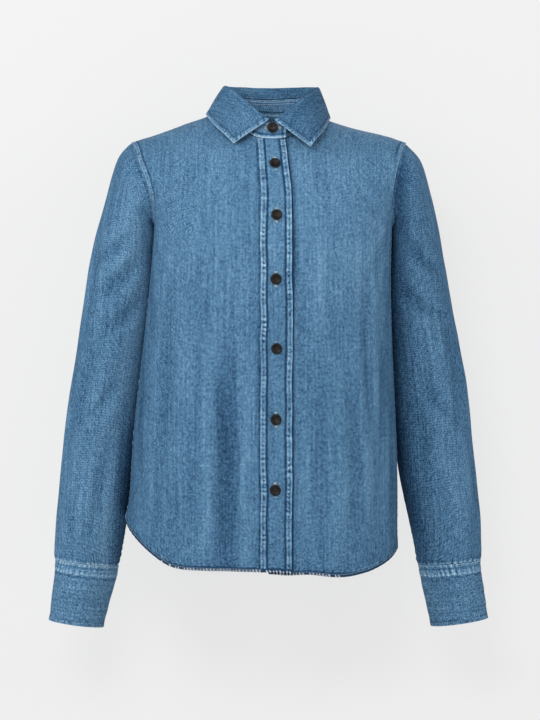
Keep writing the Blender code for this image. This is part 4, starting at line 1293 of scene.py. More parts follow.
class Finish:
    """A material that is written as expressions."""

    def __init__(self, name, roughness, **constants):
        self.material = bpy.data.materials.new(name)
        self.material.use_nodes = True
        self.tree = self.material.node_tree
        self.shader = self.tree.nodes["Principled BSDF"]
        self.shader.inputs["Roughness"].default_value = roughness
        for socket, value in constants.items():
            self.shader.inputs[socket.replace("_", " ")].default_value = value

    def add(self, kind, settings, *values, output=0, **named):
        """A node with its settings made, its sockets filled in order or by name; gives one output."""
        node = self.tree.nodes.new(kind)
        for setting, value in settings.items():
            setattr(node, setting, value)
        for socket, value in [*enumerate(values), *named.items()]:
            socket = node.inputs[socket.replace("_", " ") if isinstance(socket, str) else socket]
            if isinstance(value, Value):
                self.tree.links.new(value.socket, socket)
            else:
                socket.default_value = value
        return Value(self, node.outputs[output])

    def set(self, socket, value):
        self.tree.links.new(value.socket, self.shader.inputs[socket])

    def cloth_place(self, stretch):
        """The place on the cloth, in stretched units."""
        place = self.add("ShaderNodeUVMap", {"uv_map": "cloth"})
        return self.add("ShaderNodeVectorMath", {"operation": "MULTIPLY"}, place, stretch)

    def object_place(self, stretch):
        place = self.add("ShaderNodeTexCoord", {}, output="Object")
        return self.add("ShaderNodeVectorMath", {"operation": "MULTIPLY"}, place, stretch)

    def moved(self, place, shift):
        return self.add("ShaderNodeVectorMath", {"operation": "ADD"}, place, shift)

    def patches(self, place, detail, roughness=0.5):
        """Noise from 0 to 1 at a place."""
        return self.add("ShaderNodeTexNoise", {}, Vector=place, Scale=1.0, Detail=detail, Roughness=roughness)

    def floats(self, stretch, slant):
        """Each thread's crossings as small cells on a slant, lighter and darker at random."""
        place = self.cloth_place(stretch)
        place = self.add("ShaderNodeVectorRotate", {"rotation_type": "Z_AXIS"}, place, Angle=slant)
        cell = self.add("ShaderNodeVectorMath", {"operation": "FLOOR"}, place)
        return self.add("ShaderNodeTexWhiteNoise", {"noise_dimensions": "3D"}, cell)

    def mark(self, name):
        return self.add("ShaderNodeAttribute", {"attribute_name": name}, output="Fac")

    def between(self, share, low, high):
        """A value's share of the way from low to high, eased."""
        return self.add("ShaderNodeMapRange", {"interpolation_type": "SMOOTHSTEP"}, share, low, high)

    def blended(self, share, a, b):
        """Colour a where share is 0, b where it is 1."""
        node = self.tree.nodes.new("ShaderNodeMix")
        node.data_type = "RGBA"
        for socket, value in ((node.inputs[0], share), (node.inputs[6], a), (node.inputs[7], b)):
            if isinstance(value, Value):
                self.tree.links.new(value.socket, socket)
            else:
                socket.default_value = value if isinstance(value, float) else (*value, 1)
        return Value(self, node.outputs[2])

    def raised(self, height, depth, strength=1.0):
        """Bumps of a depth in metres."""
        self.set("Normal", self.add("ShaderNodeBump", {}, Strength=strength, Distance=depth, Height=height))


INDIGO_DEEP = (0.014, 0.044, 0.095)
INDIGO = (0.063, 0.153, 0.266)
INDIGO_WORN = (0.164, 0.308, 0.452)
BLEACHED = (0.430, 0.590, 0.700)
FLOAT_SLANT = 0.42         # radians that the rows of thread crossings lie off the warp
THREAD_PALE = (0.480, 0.580, 0.650)
THREAD_BLEACHED = (0.740, 0.790, 0.820)
THREAD_OCHRE = (0.720, 0.660, 0.510)
THREAD_BROWN = (0.030, 0.020, 0.015)
HORN_DEEP = (0.003, 0.003, 0.003)
HORN = (0.014, 0.010, 0.008)


def denim(name, tone=0.0, seed=0.0, contrast=1.0, crosswise=False):
    """Washed twill: pale weft through indigo warp, uneven in streaks along the warp and in patches.

    The warp runs down the piece, or across it in one that is cut crosswise.
    """
    finish = Finish(name, 0.88, Specular_IOR_Level=0.06)

    def grain(beside, along, detail, roughness=0.6):
        stretch = (1 / along, 1 / beside, 1) if crosswise else (1 / beside, 1 / along, 1)
        place = finish.moved(finish.cloth_place(stretch), (seed, seed * 1.7, 0))
        return finish.patches(place, detail, roughness)

    slubs = grain(0.0014, 0.0140, 2.0)
    grains = finish.floats((1 / 0.0011, 1 / 0.0014, 1), FLOAT_SLANT)
    picks = grain(0.0140, 0.0015, 1.0)
    streaks = grain(0.0030, 0.130, 2.0)
    fade = grain(0.045, 0.100, 2.0, 0.5)
    twill = finish.add(
        "ShaderNodeTexWave", {"wave_type": "BANDS", "bands_direction": "DIAGONAL"},
        Vector=finish.cloth_place((1 / 0.0050, 1 / 0.0050, 1)), Scale=1.0, Distortion=0.6, Detail=1.0,
    )
    # worn holds the cloth's worn paleness together with the painted light and shade marked on it
    worn = finish.mark("wear_and_shading")
    shade = (
        0.48 + tone
        + (slubs - 0.5) * (0.46 * contrast)
        + (grains - 0.5) * (0.52 * contrast)
        + (picks - 0.5) * (0.42 * contrast)
        + (streaks - 0.5) * (0.56 * contrast)
        + (fade - 0.5) * 0.26
        + (twill - 0.5) * 0.16
        + worn
    )
    dark = finish.blended(finish.between(shade, 0.0, 0.50), INDIGO_DEEP, INDIGO)
    light = finish.blended(finish.between(shade, 0.42, 0.95), dark, INDIGO_WORN)
    finish.set("Base Color", finish.blended(finish.between(shade, 0.85, 1.45), light, BLEACHED))
    finish.raised(slubs * 0.5 + grains * 0.2 + twill * 0.3, 0.00026, 0.8)
    return finish.material


# ---------------------------------------------------------------- pieces

def show(cloth, finish):
    """Gives a cloth its wall and its finish, attaches it to the root and hides the imported part it stands
    for.
    """
    thickness, flat, area = CUT[cloth.name]
    obj = finish_mesh(cloth, thickness)
    obj.data.materials.append(finish)
    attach(obj, "root")
    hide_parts(cloth.name)


def column(rows, index, first=0, last=None):
    """Part of a grid's column, without the points it lacks."""
    return [row[index] for row in rows[first:last] if row[index] is not None]


def body_axis(point):
    return Vector((0, 0, point.z))


def front_points(side):
    """One front's points, row by row from the hem up."""
    drop = (lambda x, z: -underlap(x, z)) if side == "left" else (lambda x, z: 0.0)
    return [[at and on_body(*at, -1, drop(*at)) for at in row] for row in front_rows(side)]


def front_seams(rows):
    """The lines of points along a front's edges."""
    return {
        "hem": rows[0],
        "side": column(rows, -1, 0, BODY_ROWS + 1),
        "armhole": column(rows, -1, BODY_ROWS),
        "shoulder": [point for point in rows[-1] if point is not None],
    }


def cloth_places(cloth):
    """The distance across the cloth from its middle, and the height, of each point."""
    return np.stack([cloth.cloth[:, 0], cloth.points[:, 2]], axis=1)


def darker_low_down(cloth):
    """The body is darker low down."""
    return -0.08 * soft_step(-cloth.points[:, 2], 0.15, 0.40)


def placket_shadow(cloth, side):
    """The painted shadow that the placket casts on the front along its edge."""
    x, z = cloth.points[:, 0], cloth.points[:, 2]
    heights = np.linspace(-0.70, NECK_PIT_Z, 64)
    edge = np.interp(z, heights, [placket_x(float(at), 1 if side == "right" else 0) for at in heights])
    away = np.where(z < NECK_PIT_Z, edge - x if side == "right" else x - edge, 1.0)
    if side == "right":
        return 0.34 * bump(away - 0.0014, 0.0014)
    wide = 0.0030 + 0.0060 * soft_step(z, -0.300, -0.200)
    return 0.50 * bump(away - 0.0004, 0.0018) + 0.34 * (1 - soft_step(away, 0.0, wide))


def touching_sleeve(cloth):
    """1 along the body's side, where a sleeve lies against it, so that both stay smooth there."""
    return soft_step(np.abs(cloth.normals[:, 0]), 0.60, 0.90) * soft_step(-cloth.points[:, 2], 0.10, 0.14)


def painted_side_shade(cloth):
    """Painted shade on the sides of the body, where they turn away from the front."""
    turned = 1 - soft_step(-cloth.normals[:, 1], 0.20, 0.70)
    return -SIDE_PAINTED_SHADE * turned * soft_step(-cloth.points[:, 2], 0.12, 0.20)


def body_unevenness(cloth):
    """The body's waves, the same on every layer, so that what lies on a panel follows it."""
    broad = UNEVEN_BROAD * wander(cloth.points, BODY_WAVES[0], 3.0, (1, 1, 3.2))
    return broad + UNEVEN_FINE * wander(cloth.points, BODY_WAVES[1], 4.0, (1, 1, 2.2))


def front(side):
    """One front, its hem twisted, its armhole felled and its side laid under the back's."""
    sign = -1 if side == "right" else 1
    rows = front_points(side)
    cloth = Cloth(
        side + "_front",
        lay_out(side + "_front", rows, body_axis, across_from=lambda point: sign * (point.x - NECK_X)),
        front_seams(rows),
    )
    seed = 3.0 if side == "right" else 11.0
    height = creases(cloth_places(cloth), FRONT_CREASES[side])
    dye = rubbed(height)
    height += body_unevenness(cloth)
    height *= 1 - TOUCHING * touching_sleeve(cloth)
    hem, hem_wear = rope_hem(cloth, "hem", HEM_WIDTH, seed)
    armhole, armhole_wear = felled(
        cloth, "armhole", ARMHOLE_FELL, 0.0007, seed + 2,
        pitch=0.0062, pucker=0.0003, worn=0.75, edge=0.45,
    )
    armhole = armhole * soft_step(cloth.seams["shoulder"][0], 0.0, 0.008)
    armhole_wear = armhole_wear * (1 - 0.7 * soft_step(-cloth.points[:, 2], 0.095, 0.115))
    if side == "left":
        folded = soft_step(-cloth.points[:, 2], 0.040, 0.060)
        # below the shoulder the margin gives way to a thin painted highlight along the body's folded edge
        armhole_wear = armhole_wear * (1 - folded) + 0.30 * folded * bump(cloth.seams["armhole"][0], 0.0012)
        armhole = armhole * (1 - folded)
    side_seam, side_wear = felled(cloth, "side", SIDE_FELL, 0.0004, seed + 4, below=True, worn=0.4)
    shoulder, shoulder_wear = felled(cloth, "shoulder", 0.004, 0.0, seed + 6, pucker=0.0, worn=0.3)
    cloth.raise_by(height + hem + armhole + side_seam + shoulder)
    wear_and_shading = hem_wear + armhole_wear + side_wear + shoulder_wear + dye
    cloth.mark("wear_and_shading", wear_and_shading + darker_low_down(cloth) + painted_side_shade(cloth) - placket_shadow(cloth, side))
    return cloth


def back_cloth():
    """The back, from its hem up to the yoke, which lies over its upper edge."""
    rows = back_points()
    cloth = Cloth(
        "back", lay_out("back", rows, body_axis, middle=True),
        {
            "hem": rows[0], "yoke": rows[-1],
            "right_side": column(rows, 0, 0, BODY_ROWS + 1), "left_side": column(rows, -1, 0, BODY_ROWS + 1),
            "right_armhole": column(rows, 0, BODY_ROWS), "left_armhole": column(rows, -1, BODY_ROWS),
        },
    )
    height = creases(cloth_places(cloth), BACK_CREASES)
    dye = rubbed(height)
    height += body_unevenness(cloth)
    height *= 1 - TOUCHING * touching_sleeve(cloth)
    hem, wear_and_shading = rope_hem(cloth, "hem", HEM_WIDTH, 23)
    height += hem
    for i, (seam, width, below) in enumerate((
        ("right_side", SIDE_FELL, False), ("left_side", SIDE_FELL, False),
        ("right_armhole", ARMHOLE_FELL, False), ("left_armhole", ARMHOLE_FELL, False),
        ("yoke", 0.004, True),
    )):
        rise, worn = felled(cloth, seam, width, 0.0002 if below else 0.0006, 24 + i, below=below, worn=0.6)
        height += rise
        wear_and_shading += worn
    cloth.raise_by(height)
    cloth.mark("wear_and_shading", wear_and_shading + dye + darker_low_down(cloth))
    return cloth


def yoke_cloth():
    """The yoke, its stitched margins raised along the armholes and the back."""
    rows = yoke_points()
    steps = YOKE_ARM_STEPS
    cloth = Cloth(
        "yoke", lay_out("yoke", rows, lambda point: Vector((point.x * 0.8, 0.0, point.z - 0.1)), middle=True),
        {
            "right_shoulder": rows[0], "left_shoulder": rows[-1],
            "right_armhole": column(rows, -1, 0, steps + 1),
            "left_armhole": column(rows, -1, -steps - 1),
            "back": column(rows, -1, steps, -steps),
        },
    )
    height = 0.0008 * wander(cloth.points, 0.05, 31)
    wear_and_shading = np.zeros(cloth.count)
    for i, (seam, width) in enumerate((
        ("right_shoulder", 0.006), ("left_shoulder", 0.006), ("back", 0.006),
        ("right_armhole", ARMHOLE_FELL), ("left_armhole", ARMHOLE_FELL),
    )):
        at_shoulder = "shoulder" in seam
        rise, worn = felled(
            cloth, seam, width, 0.0 if at_shoulder else 0.0006, 32 + i, pucker=0.0 if at_shoulder else 0.0004,
            worn=0.3 if at_shoulder else 0.6,
        )
        height += rise
        wear_and_shading += worn
    cloth.raise_by(height)
    cloth.mark("wear_and_shading", wear_and_shading)
    return cloth


def section_at(sections, at):
    """One section of a sleeve or cuff between the table's rows."""
    rows = list(range(len(sections["mid_y"])))
    return {name: [smooth(rows, values, at)] for name, values in sections.items()}


def tube_ring(sections, at, clear):
    """A ring that starts and ends at the underarm seam."""
    points = ring(section_at(sections, at), 0, clear)
    half = SLEEVE_POINTS // 2
    return points[half:] + points[:half + 1]


def tube_axis(rings):
    """The middle of the ring nearest a point."""
    middles = [sum(points[:-1], Vector()) / (len(points) - 1) for points in rings]
    return lambda point: min(middles, key=lambda middle: (middle - point).length)


def sleeve_cloth(side):
    """One sleeve, smooth where it hangs against the body, and gathered a little into its cuff."""
    sections = SLEEVE[side]
    last = len(sections["mid_y"]) - 1
    first = armhole_ring(side)
    half = SLEEVE_POINTS // 2
    places = [*range(last), *(last - before for before in SLEEVE_FOOT_ROWS)]
    rings = [tube_ring(sections, at, True) for at in places]
    rings.sort(key=lambda points: -sum(point.z for point in points))
    rows = [first[half:] + first[:half + 1], *rings]
    name = side + "_sleeve"
    cloth = Cloth(
        name, lay_out(name, rows, tube_axis(rows), closed=True, middle=True),
        {"cap": rows[0], "cuff": rows[-1], "underarm": [row[0] for row in rows]},
    )
    seed = 41.0 if side == "right" else 51.0
    height = creases(cloth_places(cloth), SLEEVE_CREASES[side])
    height += UNEVEN_BROAD * wander(cloth.points, SLEEVE_WAVES[0], seed, (1, 1, 2.6))
    height += UNEVEN_FINE * wander(cloth.points, SLEEVE_WAVES[1], seed + 1, (1, 1, 1.8))
    wear_and_shading = rubbed(height)
    height *= 1 - TOUCHING * (1 - soft_step(across_sleeve(cloth, sections), 0.03, 0.30))
    for i, (seam, width, rise, below) in enumerate((
        ("cap", 0.003, 0.0, True), ("underarm", 0.006, 0.0006, False), ("cuff", 0.003, 0.0, True),
    )):
        lift, worn = felled(cloth, seam, width, rise, seed + 2 + i, below=below, worn=0.35)
        height += lift
        wear_and_shading += worn
    away = cloth.seams["cap"][0]
    under = 1 - soft_step(cloth.seams["underarm"][0], 0.015, 0.045)
    height += UNDERARM_FILL * bump(away - UNDERARM_FILL_AT, UNDERARM_FILL_AT) * under
    gather, below = puckers(cloth, "cuff", 0.0, 0.0075, seed + 9)
    height += (SLEEVE_FOOT_OUT + 0.0008 * gather) * (1 - soft_step(below, 0.004, 0.030))
    wear_and_shading += (0.20 + 0.30 * gather) * (1 - soft_step(below, 0.001, 0.007))
    dip, shade, depth = CAP_DIP[side]
    forward = soft_step(-cloth.normals[:, 1], 0.25, 0.80) * soft_step(-cloth.points[:, 2], 0.045, 0.085)
    height -= dip * forward * bump(away - 0.014, 0.012)
    # painted shade on the front of the sleeve beside the armhole
    wear_and_shading -= shade * forward * (1 - soft_step(away, 0.001, depth))
    # painted shade down the front beside the body; on the right sleeve the share is negative and paints light
    wear_and_shading -= INNER_PAINTED_SHADING[side] * beside_body(cloth, sections)
    # painted light along the inner edge beside the chest and painted shade there below the waist
    wear_and_shading += slot_painted_shading(cloth, sections, side)
    cloth.raise_by(height)
    cloth.mark("wear_and_shading", wear_and_shading)
    return cloth


def across_sleeve(cloth, sections):
    """0 at a sleeve's inner edge beside the body, 1 at its outer edge."""
    down = -cloth.points[:, 2]
    inner, outer = (
        np.interp(down, [-z for z in sections[edge + "_z"]], np.abs(sections[edge + "_x"]))
        for edge in ("inner", "outer")
    )
    return (np.abs(cloth.points[:, 0]) - inner) / (outer - inner)


def slot_painted_shading(cloth, sections, side):
    """Painted light along a sleeve's inner edge beside the chest, and painted shade there below the waist."""
    high, low = SLOT_PAINTED_SHADING[side]
    down = -cloth.points[:, 2]
    share = across_sleeve(cloth, sections)
    upper = soft_step(down, 0.130, 0.160) * (1 - soft_step(down, 0.230, 0.300))
    lower = soft_step(down, 0.340, 0.440)
    return high * upper * (1 - soft_step(share, 0.0, 0.14)) + low * lower * (1 - soft_step(share, 0.02, 0.30))


def beside_body(cloth, sections):
    """1 down the front of a sleeve beside the body, falling to 0 past its middle."""
    share = across_sleeve(cloth, sections)
    return (1 - soft_step(share, 0.05, 0.65)) * soft_step(-cloth.normals[:, 1], -0.1, 0.4)


def cuff_band(cloth, seed):
    """The cuff's stitched-down upper edge: two lines of stitches and pale, gathered cloth between."""
    wave, away = puckers(cloth, "top", CUFF_BAND, CUFF_PUCKER_PITCH, seed)
    groove, stitched = CUFF_BAND * 0.35, CUFF_BAND * 0.88
    band = 1 - soft_step(away, CUFF_BAND - 0.001, CUFF_BAND + 0.003)
    height = band * (0.0003 + 0.00045 * wave) - 0.0004 * bump(away - groove, 0.0010)
    height -= 0.0003 * bump(away - CUFF_BAND, 0.0012)
    wear_and_shading = band * (0.14 + 0.30 * wave) + 0.25 * bump(away, 0.0014)
    # painted shade in the band's groove
    wear_and_shading -= 0.40 * bump(away - groove, 0.0012) * (0.6 + 0.5 * wave)
    wear_and_shading += 0.38 * bump(away - stitched, 0.0014) * (0.7 + 0.6 * wave)
    # painted shade below the band's lower edge
    wear_and_shading -= 0.25 * bump(away - CUFF_BAND - 0.0025, 0.0014)
    return height, wear_and_shading


def cuff_cloth(side):
    """One cuff, with its stitched band above and a felled edge below."""
    rows = [tube_ring(CUFF[side], at, False) for at in CUFF_ROWS]
    name = side + "_cuff"
    cloth = Cloth(
        name, lay_out(name, rows, tube_axis(rows), closed=True, middle=True),
        {"top": rows[0], "foot": rows[-1]},
    )
    seed = 61.0 if side == "right" else 71.0
    height = 0.0010 * wander(cloth.points, 0.030, seed, (2.2, 2.2, 1))
    height += 0.0004 * wander(cloth.points, 0.009, seed + 1, (2.5, 2.5, 1))
    top, top_wear = cuff_band(cloth, seed + 2)
    foot, foot_wear = felled(cloth, "foot", 0.0050, 0.0004, seed + 3, pitch=0.0080, worn=0.35)
    cloth.raise_by(height + top + foot)
    cloth.mark("wear_and_shading", top_wear + foot_wear)
    return cloth


def placket_cloth():
    """The strip, a little out from the right front's own form, its margins raised and puckered."""
    out = CLOTH / 2 + LAY_GAP + LAY_BEND + DOUBLED / 2
    rows = []
    for j in range(PLACKET_STEPS + 1):
        row = []
        for share in PLACKET_SHARES:
            foot_x = placket_x(PLACKET_FOOT_Z, share)
            foot = smooth(FRONT_HEM["angle"], FRONT_HEM["right"], -angle_of(foot_x, PLACKET_FOOT_Z))
            foot += hem_sway(foot_x)
            z = mix(foot, NECK_PIT_Z, j / PLACKET_STEPS)
            sway = PLACKET_SWAY * noise.noise(Vector((z / PLACKET_SWAY_SIZE, round(share) * 5.0, 0.5)))
            row.append(on_body(placket_x(z, share) + sway * abs(2 * share - 1), z, -1, out))
        rows.append(row)
    cloth = Cloth(
        "placket", lay_out("placket", rows, body_axis, middle=True),
        {"free": column(rows, 0), "sewn": column(rows, -1), "foot": rows[0]},
    )
    height = body_unevenness(cloth) + 0.0003 * wander(cloth.points, 0.018, 81, (1, 1, 1.6))
    wear_and_shading = np.zeros(cloth.count)
    for seam, seed in (("free", 82), ("sewn", 85)):
        lift, worn = felled(
            cloth, seam, PLACKET_MARGIN, 0.0007, seed,
            pitch=0.0066, pucker=0.00050, worn=0.95, edge=0.32, shade=0.80, mottle=0.42,
        )
        height += lift
        wear_and_shading += worn
    foot, foot_wear = rope_hem(cloth, "foot", HEM_WIDTH, 88)
    cloth.raise_by(height + foot)
    cloth.mark("wear_and_shading", wear_and_shading + foot_wear + darker_low_down(cloth))
    return cloth


def neck_axis(point):
    return Vector((NECK_X, -0.012, point.z))


def stand_cloth():
    """The collar's stand, darker where the end that lies beneath is shaded by the leaf."""
    rows = stand_columns()
    cloth = Cloth(
        "collar_stand", lay_out("collar_stand", rows, neck_axis),
        {"foot": [row[0] for row in rows], "top": [row[-1] for row in rows], "end": rows[0]},
    )
    height = 0.0004 * wander(cloth.points, 0.012, 91)
    wear_and_shading = np.zeros(cloth.count)
    for seam, seed, width in (("foot", 92, 0.0045), ("end", 93, 0.0045), ("top", 94, 0.0045)):
        lift, worn = felled(cloth, seam, width, 0.0004, seed, pitch=0.0050, pucker=0.0003)
        height += lift
        wear_and_shading += worn * (0.3 if seam == "top" else 1)
    wear_and_shading += 0.12 * soft_step(-cloth.points[:, 1], 0.070, 0.080)
    lapped = soft_step(cloth.points[:, 0], *STAND_LAPPED_X) * soft_step(-cloth.points[:, 1], 0.050, 0.070)
    wear_and_shading = wear_and_shading * (1 - lapped) - 0.30 * lapped
    cloth.raise_by(height)
    cloth.mark("wear_and_shading", wear_and_shading)
    return cloth


def leaf_cloth():
    """The collar's leaf, with a stitched margin along its outline."""
    rows = leaf_columns()
    cloth = Cloth(
        "collar_leaf", lay_out("collar_leaf", rows, neck_axis),
        {
            "outline": rows[0][3:-1] + [row[-1] for row in rows] + rows[-1][3:-1][::-1],
            "seam": [row[0] for row in rows],
        },
    )
    height = 0.0005 * wander(cloth.points, 0.020, 101)
    lift, wear_and_shading = felled(
        cloth, "outline", 0.0046, 0.0006, 102, pitch=0.0060, pucker=0.0004, edge=0.60, shade=0.22,
    )
    inner, inner_wear = felled(cloth, "seam", 0.002, 0.0, 103, pitch=0.007, pucker=0.0002, worn=0.3)
    cloth.raise_by(height + lift + inner)
    # the wearer's left half of the leaf is darker: partly its own tone, partly painted shade
    cloth.mark("wear_and_shading", wear_and_shading + inner_wear - 0.06 - 0.11 * soft_step(cloth.points[:, 0], 0.0, 0.02))
    return cloth


# ---------------------------------------------------------------- stitches

class Thread:
    """Short thread beads, gathered in small batches into one mesh."""

    def __init__(self):
        self.whole = bmesh.new()
        self.batch = bmesh.new()
        self.count = 0

    def bead(self, middle, along, length, radius, flat=BEAD_FLAT):
        """One bead, its length along a direction."""
        turn = Vector(along).to_track_quat("X", "Z").to_matrix().to_4x4()
        bmesh.ops.create_uvsphere(
            self.batch, u_segments=BEAD_SIDES, v_segments=BEAD_RINGS, radius=radius,
            matrix=Matrix.Translation(middle) @ turn @ Matrix.Diagonal((length / 2 / radius, 1, flat, 1)),
        )
        self.count += 1
        if self.count % BATCH == 0:
            self.gather()

    def gather(self):
        batch = bpy.data.meshes.new("batch")
        self.batch.to_mesh(batch)
        self.whole.from_mesh(batch)
        bpy.data.meshes.remove(batch)
        self.batch.free()
        self.batch = bmesh.new()

    def piece(self, name, finish):
        self.gather()
        self.batch.free()
        obj = new_piece(name, self.whole, finish)
        obj.data.shade_smooth()
        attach(obj, "root")
        return obj


def rubbed_ridges(name, cloth, seam, seed, finish):
    """The slanted ridges of a turned hem, rubbed white, uneven in length and left out in places."""
    chance = random.Random(seed)
    points, normals = cloth.line_at(seam, HEM_RIDGE_INSET, HEM_RIDGE_PITCH)
    thread = Thread()
    for i in range(len(points) - 1):
        run = Vector(points[i + 1] - points[i])
        likely = HEM_RIDGES_LEFT * float(hem_level(points[i][0]))
        length = HEM_RIDGE_LENGTH * chance.uniform(0.5, 1.15)
        if run.length > 1.4 * HEM_RIDGE_PITCH or chance.random() > likely:
            continue
        run = run.normalized()
        out = Vector(normals[i]).normalized()
        slanted = (run * math.copysign(0.75, run.x) + Vector((0, 0, -1))).normalized()
        middle = Vector(points[i]) + out * (CLOTH / 2 + HEM_RIDGE_OUT)
        thread.bead(middle, slanted, length, HEM_RIDGE_RADIUS, 1.0)
    return thread.piece(name, finish)


def stitches(name, lines, radius, finish):
    """Lines of stitches on a cloth, one bead to a stitch."""
    thread = Thread()
    for points, normals in lines:
        for i in range(len(points) - 1):
            run = Vector(points[i + 1] - points[i])
            if 1e-4 < run.length < STITCH_LONGEST:
                out = Vector(normals[i] + normals[i + 1]).normalized()
                middle = Vector(points[i] + points[i + 1]) / 2 + out * (radius * 0.45 + CLOTH / 2)
                thread.bead(middle, run, run.length * STITCH_SHARE, radius)
    return thread.piece(name, finish)


# ---------------------------------------------------------------- buttons

def button_place(z, x):
    """The middle of a front button's back, and the way it faces."""
    out = CLOTH / 2 + LAY_GAP + LAY_BEND + DOUBLED
    step = BUTTON_RADIUS
    up = on_body(x, z + step, -1) - on_body(x, z - step, -1)
    across = on_body(x + step, z, -1) - on_body(x - step, z, -1)
    return on_body(x, z, -1, out + BUTTON_GAP), across.cross(up).normalized()


def stand_button_place():
    x, z = STAND_BUTTON_AT
    angle = math.degrees(math.asin((x - NECK_X) / NECK_HALF_WIDTH))
    foot, top = stand_foot(angle), stand_top(angle)
    share = (z - foot.z) / (top.z - foot.z)
    out = STAND_LAYER + DOUBLED / 2 + BUTTON_GAP
    up = (top - foot).normalized()
    return foot.lerp(top, share) + outward(angle) * out, Vector((up.z, 0, 0)).cross(up).normalized()


def cuff_button_place(sections):
    rings = [ring(section_at(sections, k), 0, False) for k in (1, 2)]
    k = round(CUFF_BUTTON_ANGLE / 360 * SLEEVE_POINTS) % SLEEVE_POINTS
    upper, lower = rings[0][k], rings[1][k]
    beside = rings[0][(k + 1) % SLEEVE_POINTS] - rings[0][k - 1]
    normal = beside.cross(lower - upper).normalized()
    if normal.dot(upper - sum(rings[0], Vector()) / SLEEVE_POINTS) < 0:
        normal = -normal
    return upper.lerp(lower, CUFF_BUTTON_AT) + normal * (DOUBLED / 2 + BUTTON_GAP), normal


def standing(place, normal):
    return Matrix.Translation(place) @ normal.to_track_quat("Z", "Y").to_matrix().to_4x4()


def button(name, place, normal, finish):
    """A turned button: a rounded rim about a dished face, and four holes through it."""
    bm = bmesh.new()
    points = [bm.verts.new((BUTTON_RADIUS * out, 0, BUTTON_THICKNESS * up)) for out, up in BUTTON_PROFILE]
    edges = [bm.edges.new(pair) for pair in zip(points, points[1:])]
    bmesh.ops.spin(
        bm, geom=points + edges, cent=(0, 0, 0), axis=(0, 0, 1), angle=math.tau, steps=BUTTON_SEGMENTS,
        use_merge=True,
    )
    bmesh.ops.remove_doubles(bm, verts=bm.verts, dist=1e-6)
    bmesh.ops.recalc_face_normals(bm, faces=bm.faces)
    obj = new_piece(name + "_turned", bm)
    pins = bmesh.new()
    for corner in range(BUTTON_HOLES):
        turn = math.radians(45 + 90 * corner)
        middle = (
            BUTTON_HOLE_PITCH * math.cos(turn), BUTTON_HOLE_PITCH * math.sin(turn), BUTTON_THICKNESS / 2,
        )
        bmesh.ops.create_cone(
            pins, cap_ends=True, segments=BUTTON_HOLE_SEGMENTS, radius1=BUTTON_HOLE_RADIUS,
            radius2=BUTTON_HOLE_RADIUS, depth=BUTTON_THICKNESS * 3, matrix=Matrix.Translation(middle),
        )
    cutter = new_piece(name + "_pins", pins)
    holes = obj.modifiers.new("holes", "BOOLEAN")
    holes.object = cutter
    mesh = bpy.data.meshes.new_from_object(obj.evaluated_get(bpy.context.evaluated_depsgraph_get()))
    bpy.data.objects.remove(obj)
    bpy.data.objects.remove(cutter)
    mesh.name = name
    mesh.transform(standing(place, normal))
    mesh.shade_smooth()
    turned = bpy.data.objects.new(name + "_turned", mesh)
    bpy.context.scene.collection.objects.link(turned)
    mesh.materials.clear()
    mesh.materials.append(finish)
    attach(turned, "root")
    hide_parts(name)


def new_piece(name, bm, finish=None):
    mesh = bpy.data.meshes.new(name)
    bm.to_mesh(mesh)
    bm.free()
    obj = bpy.data.objects.new(name, mesh)
    bpy.context.scene.collection.objects.link(obj)
    if finish:
        mesh.materials.append(finish)
    return obj


def button_thread(name, place, normal, finish):
    """The cross of thread over a button's holes, and its shank under the button."""
    thread = Thread()
    stand = standing(place, normal)
    for turn in (45, 135):
        along = Vector((math.cos(math.radians(turn)), math.sin(math.radians(turn)), 0))
        beside = Vector((-along.y, along.x, 0)) * CROSS_BESIDE
        for side in (-1, 1):
            middle = stand @ (beside * side + Vector((0, 0, BUTTON_THICKNESS * 0.56)))
            thread.bead(middle, stand.to_3x3() @ along, BUTTON_HOLE_PITCH * 2.3, CROSS_RADIUS)
    bmesh.ops.create_cone(
        thread.batch, cap_ends=True, segments=10, radius1=SHANK_RADIUS, radius2=SHANK_RADIUS,
        depth=BUTTON_GAP * 0.96, matrix=stand @ Matrix.Translation((0, 0, -BUTTON_GAP / 2)),
    )
    thread.piece(name, finish)


def buttonhole(thread, middle, out, along, length, width):
    """Close stitches round a slit, square to its edge, and a bar of them across each end."""
    across = out.cross(along).normalized()
    straight = length / 2 - width / 3
    for side in (-1, 1):
        for i in range(HOLE_STITCHES):
            at = (i / (HOLE_STITCHES - 1) * 2 - 1) * straight
            place = middle + along * at + across * side * width * 0.30
            thread.bead(place, across + along * 0.12, width * 0.5, HOLE_STITCH_RADIUS)
    for end in (-1, 1):
        for i in range(BAR_STITCHES):
            side = (i / (BAR_STITCHES - 1) - 0.5) * width * 0.95
            place = middle + along * end * (straight + width * 0.25) + across * side
            thread.bead(place, along, width * 0.55, BAR_STITCH_RADIUS)


# ---------------------------------------------------------------- studio

def paper(name, one_sided=False):
    finish = Finish(
        name, 0.95, Base_Color=(*PAPER, 1), Specular_IOR_Level=0.0,
        Emission_Color=(1, 1, 1, 1), Emission_Strength=PAPER_GLOW,
    )
    if one_sided:
        behind = finish.add("ShaderNodeNewGeometry", {}, output="Backfacing")
        clear = finish.add("ShaderNodeBsdfTransparent", {})
        shader = Value(finish, finish.shader.outputs[0])
        both = finish.add("ShaderNodeMixShader", {}, behind, shader, clear)
        finish.tree.links.new(both.socket, finish.tree.nodes["Material Output"].inputs["Surface"])
    return finish.material


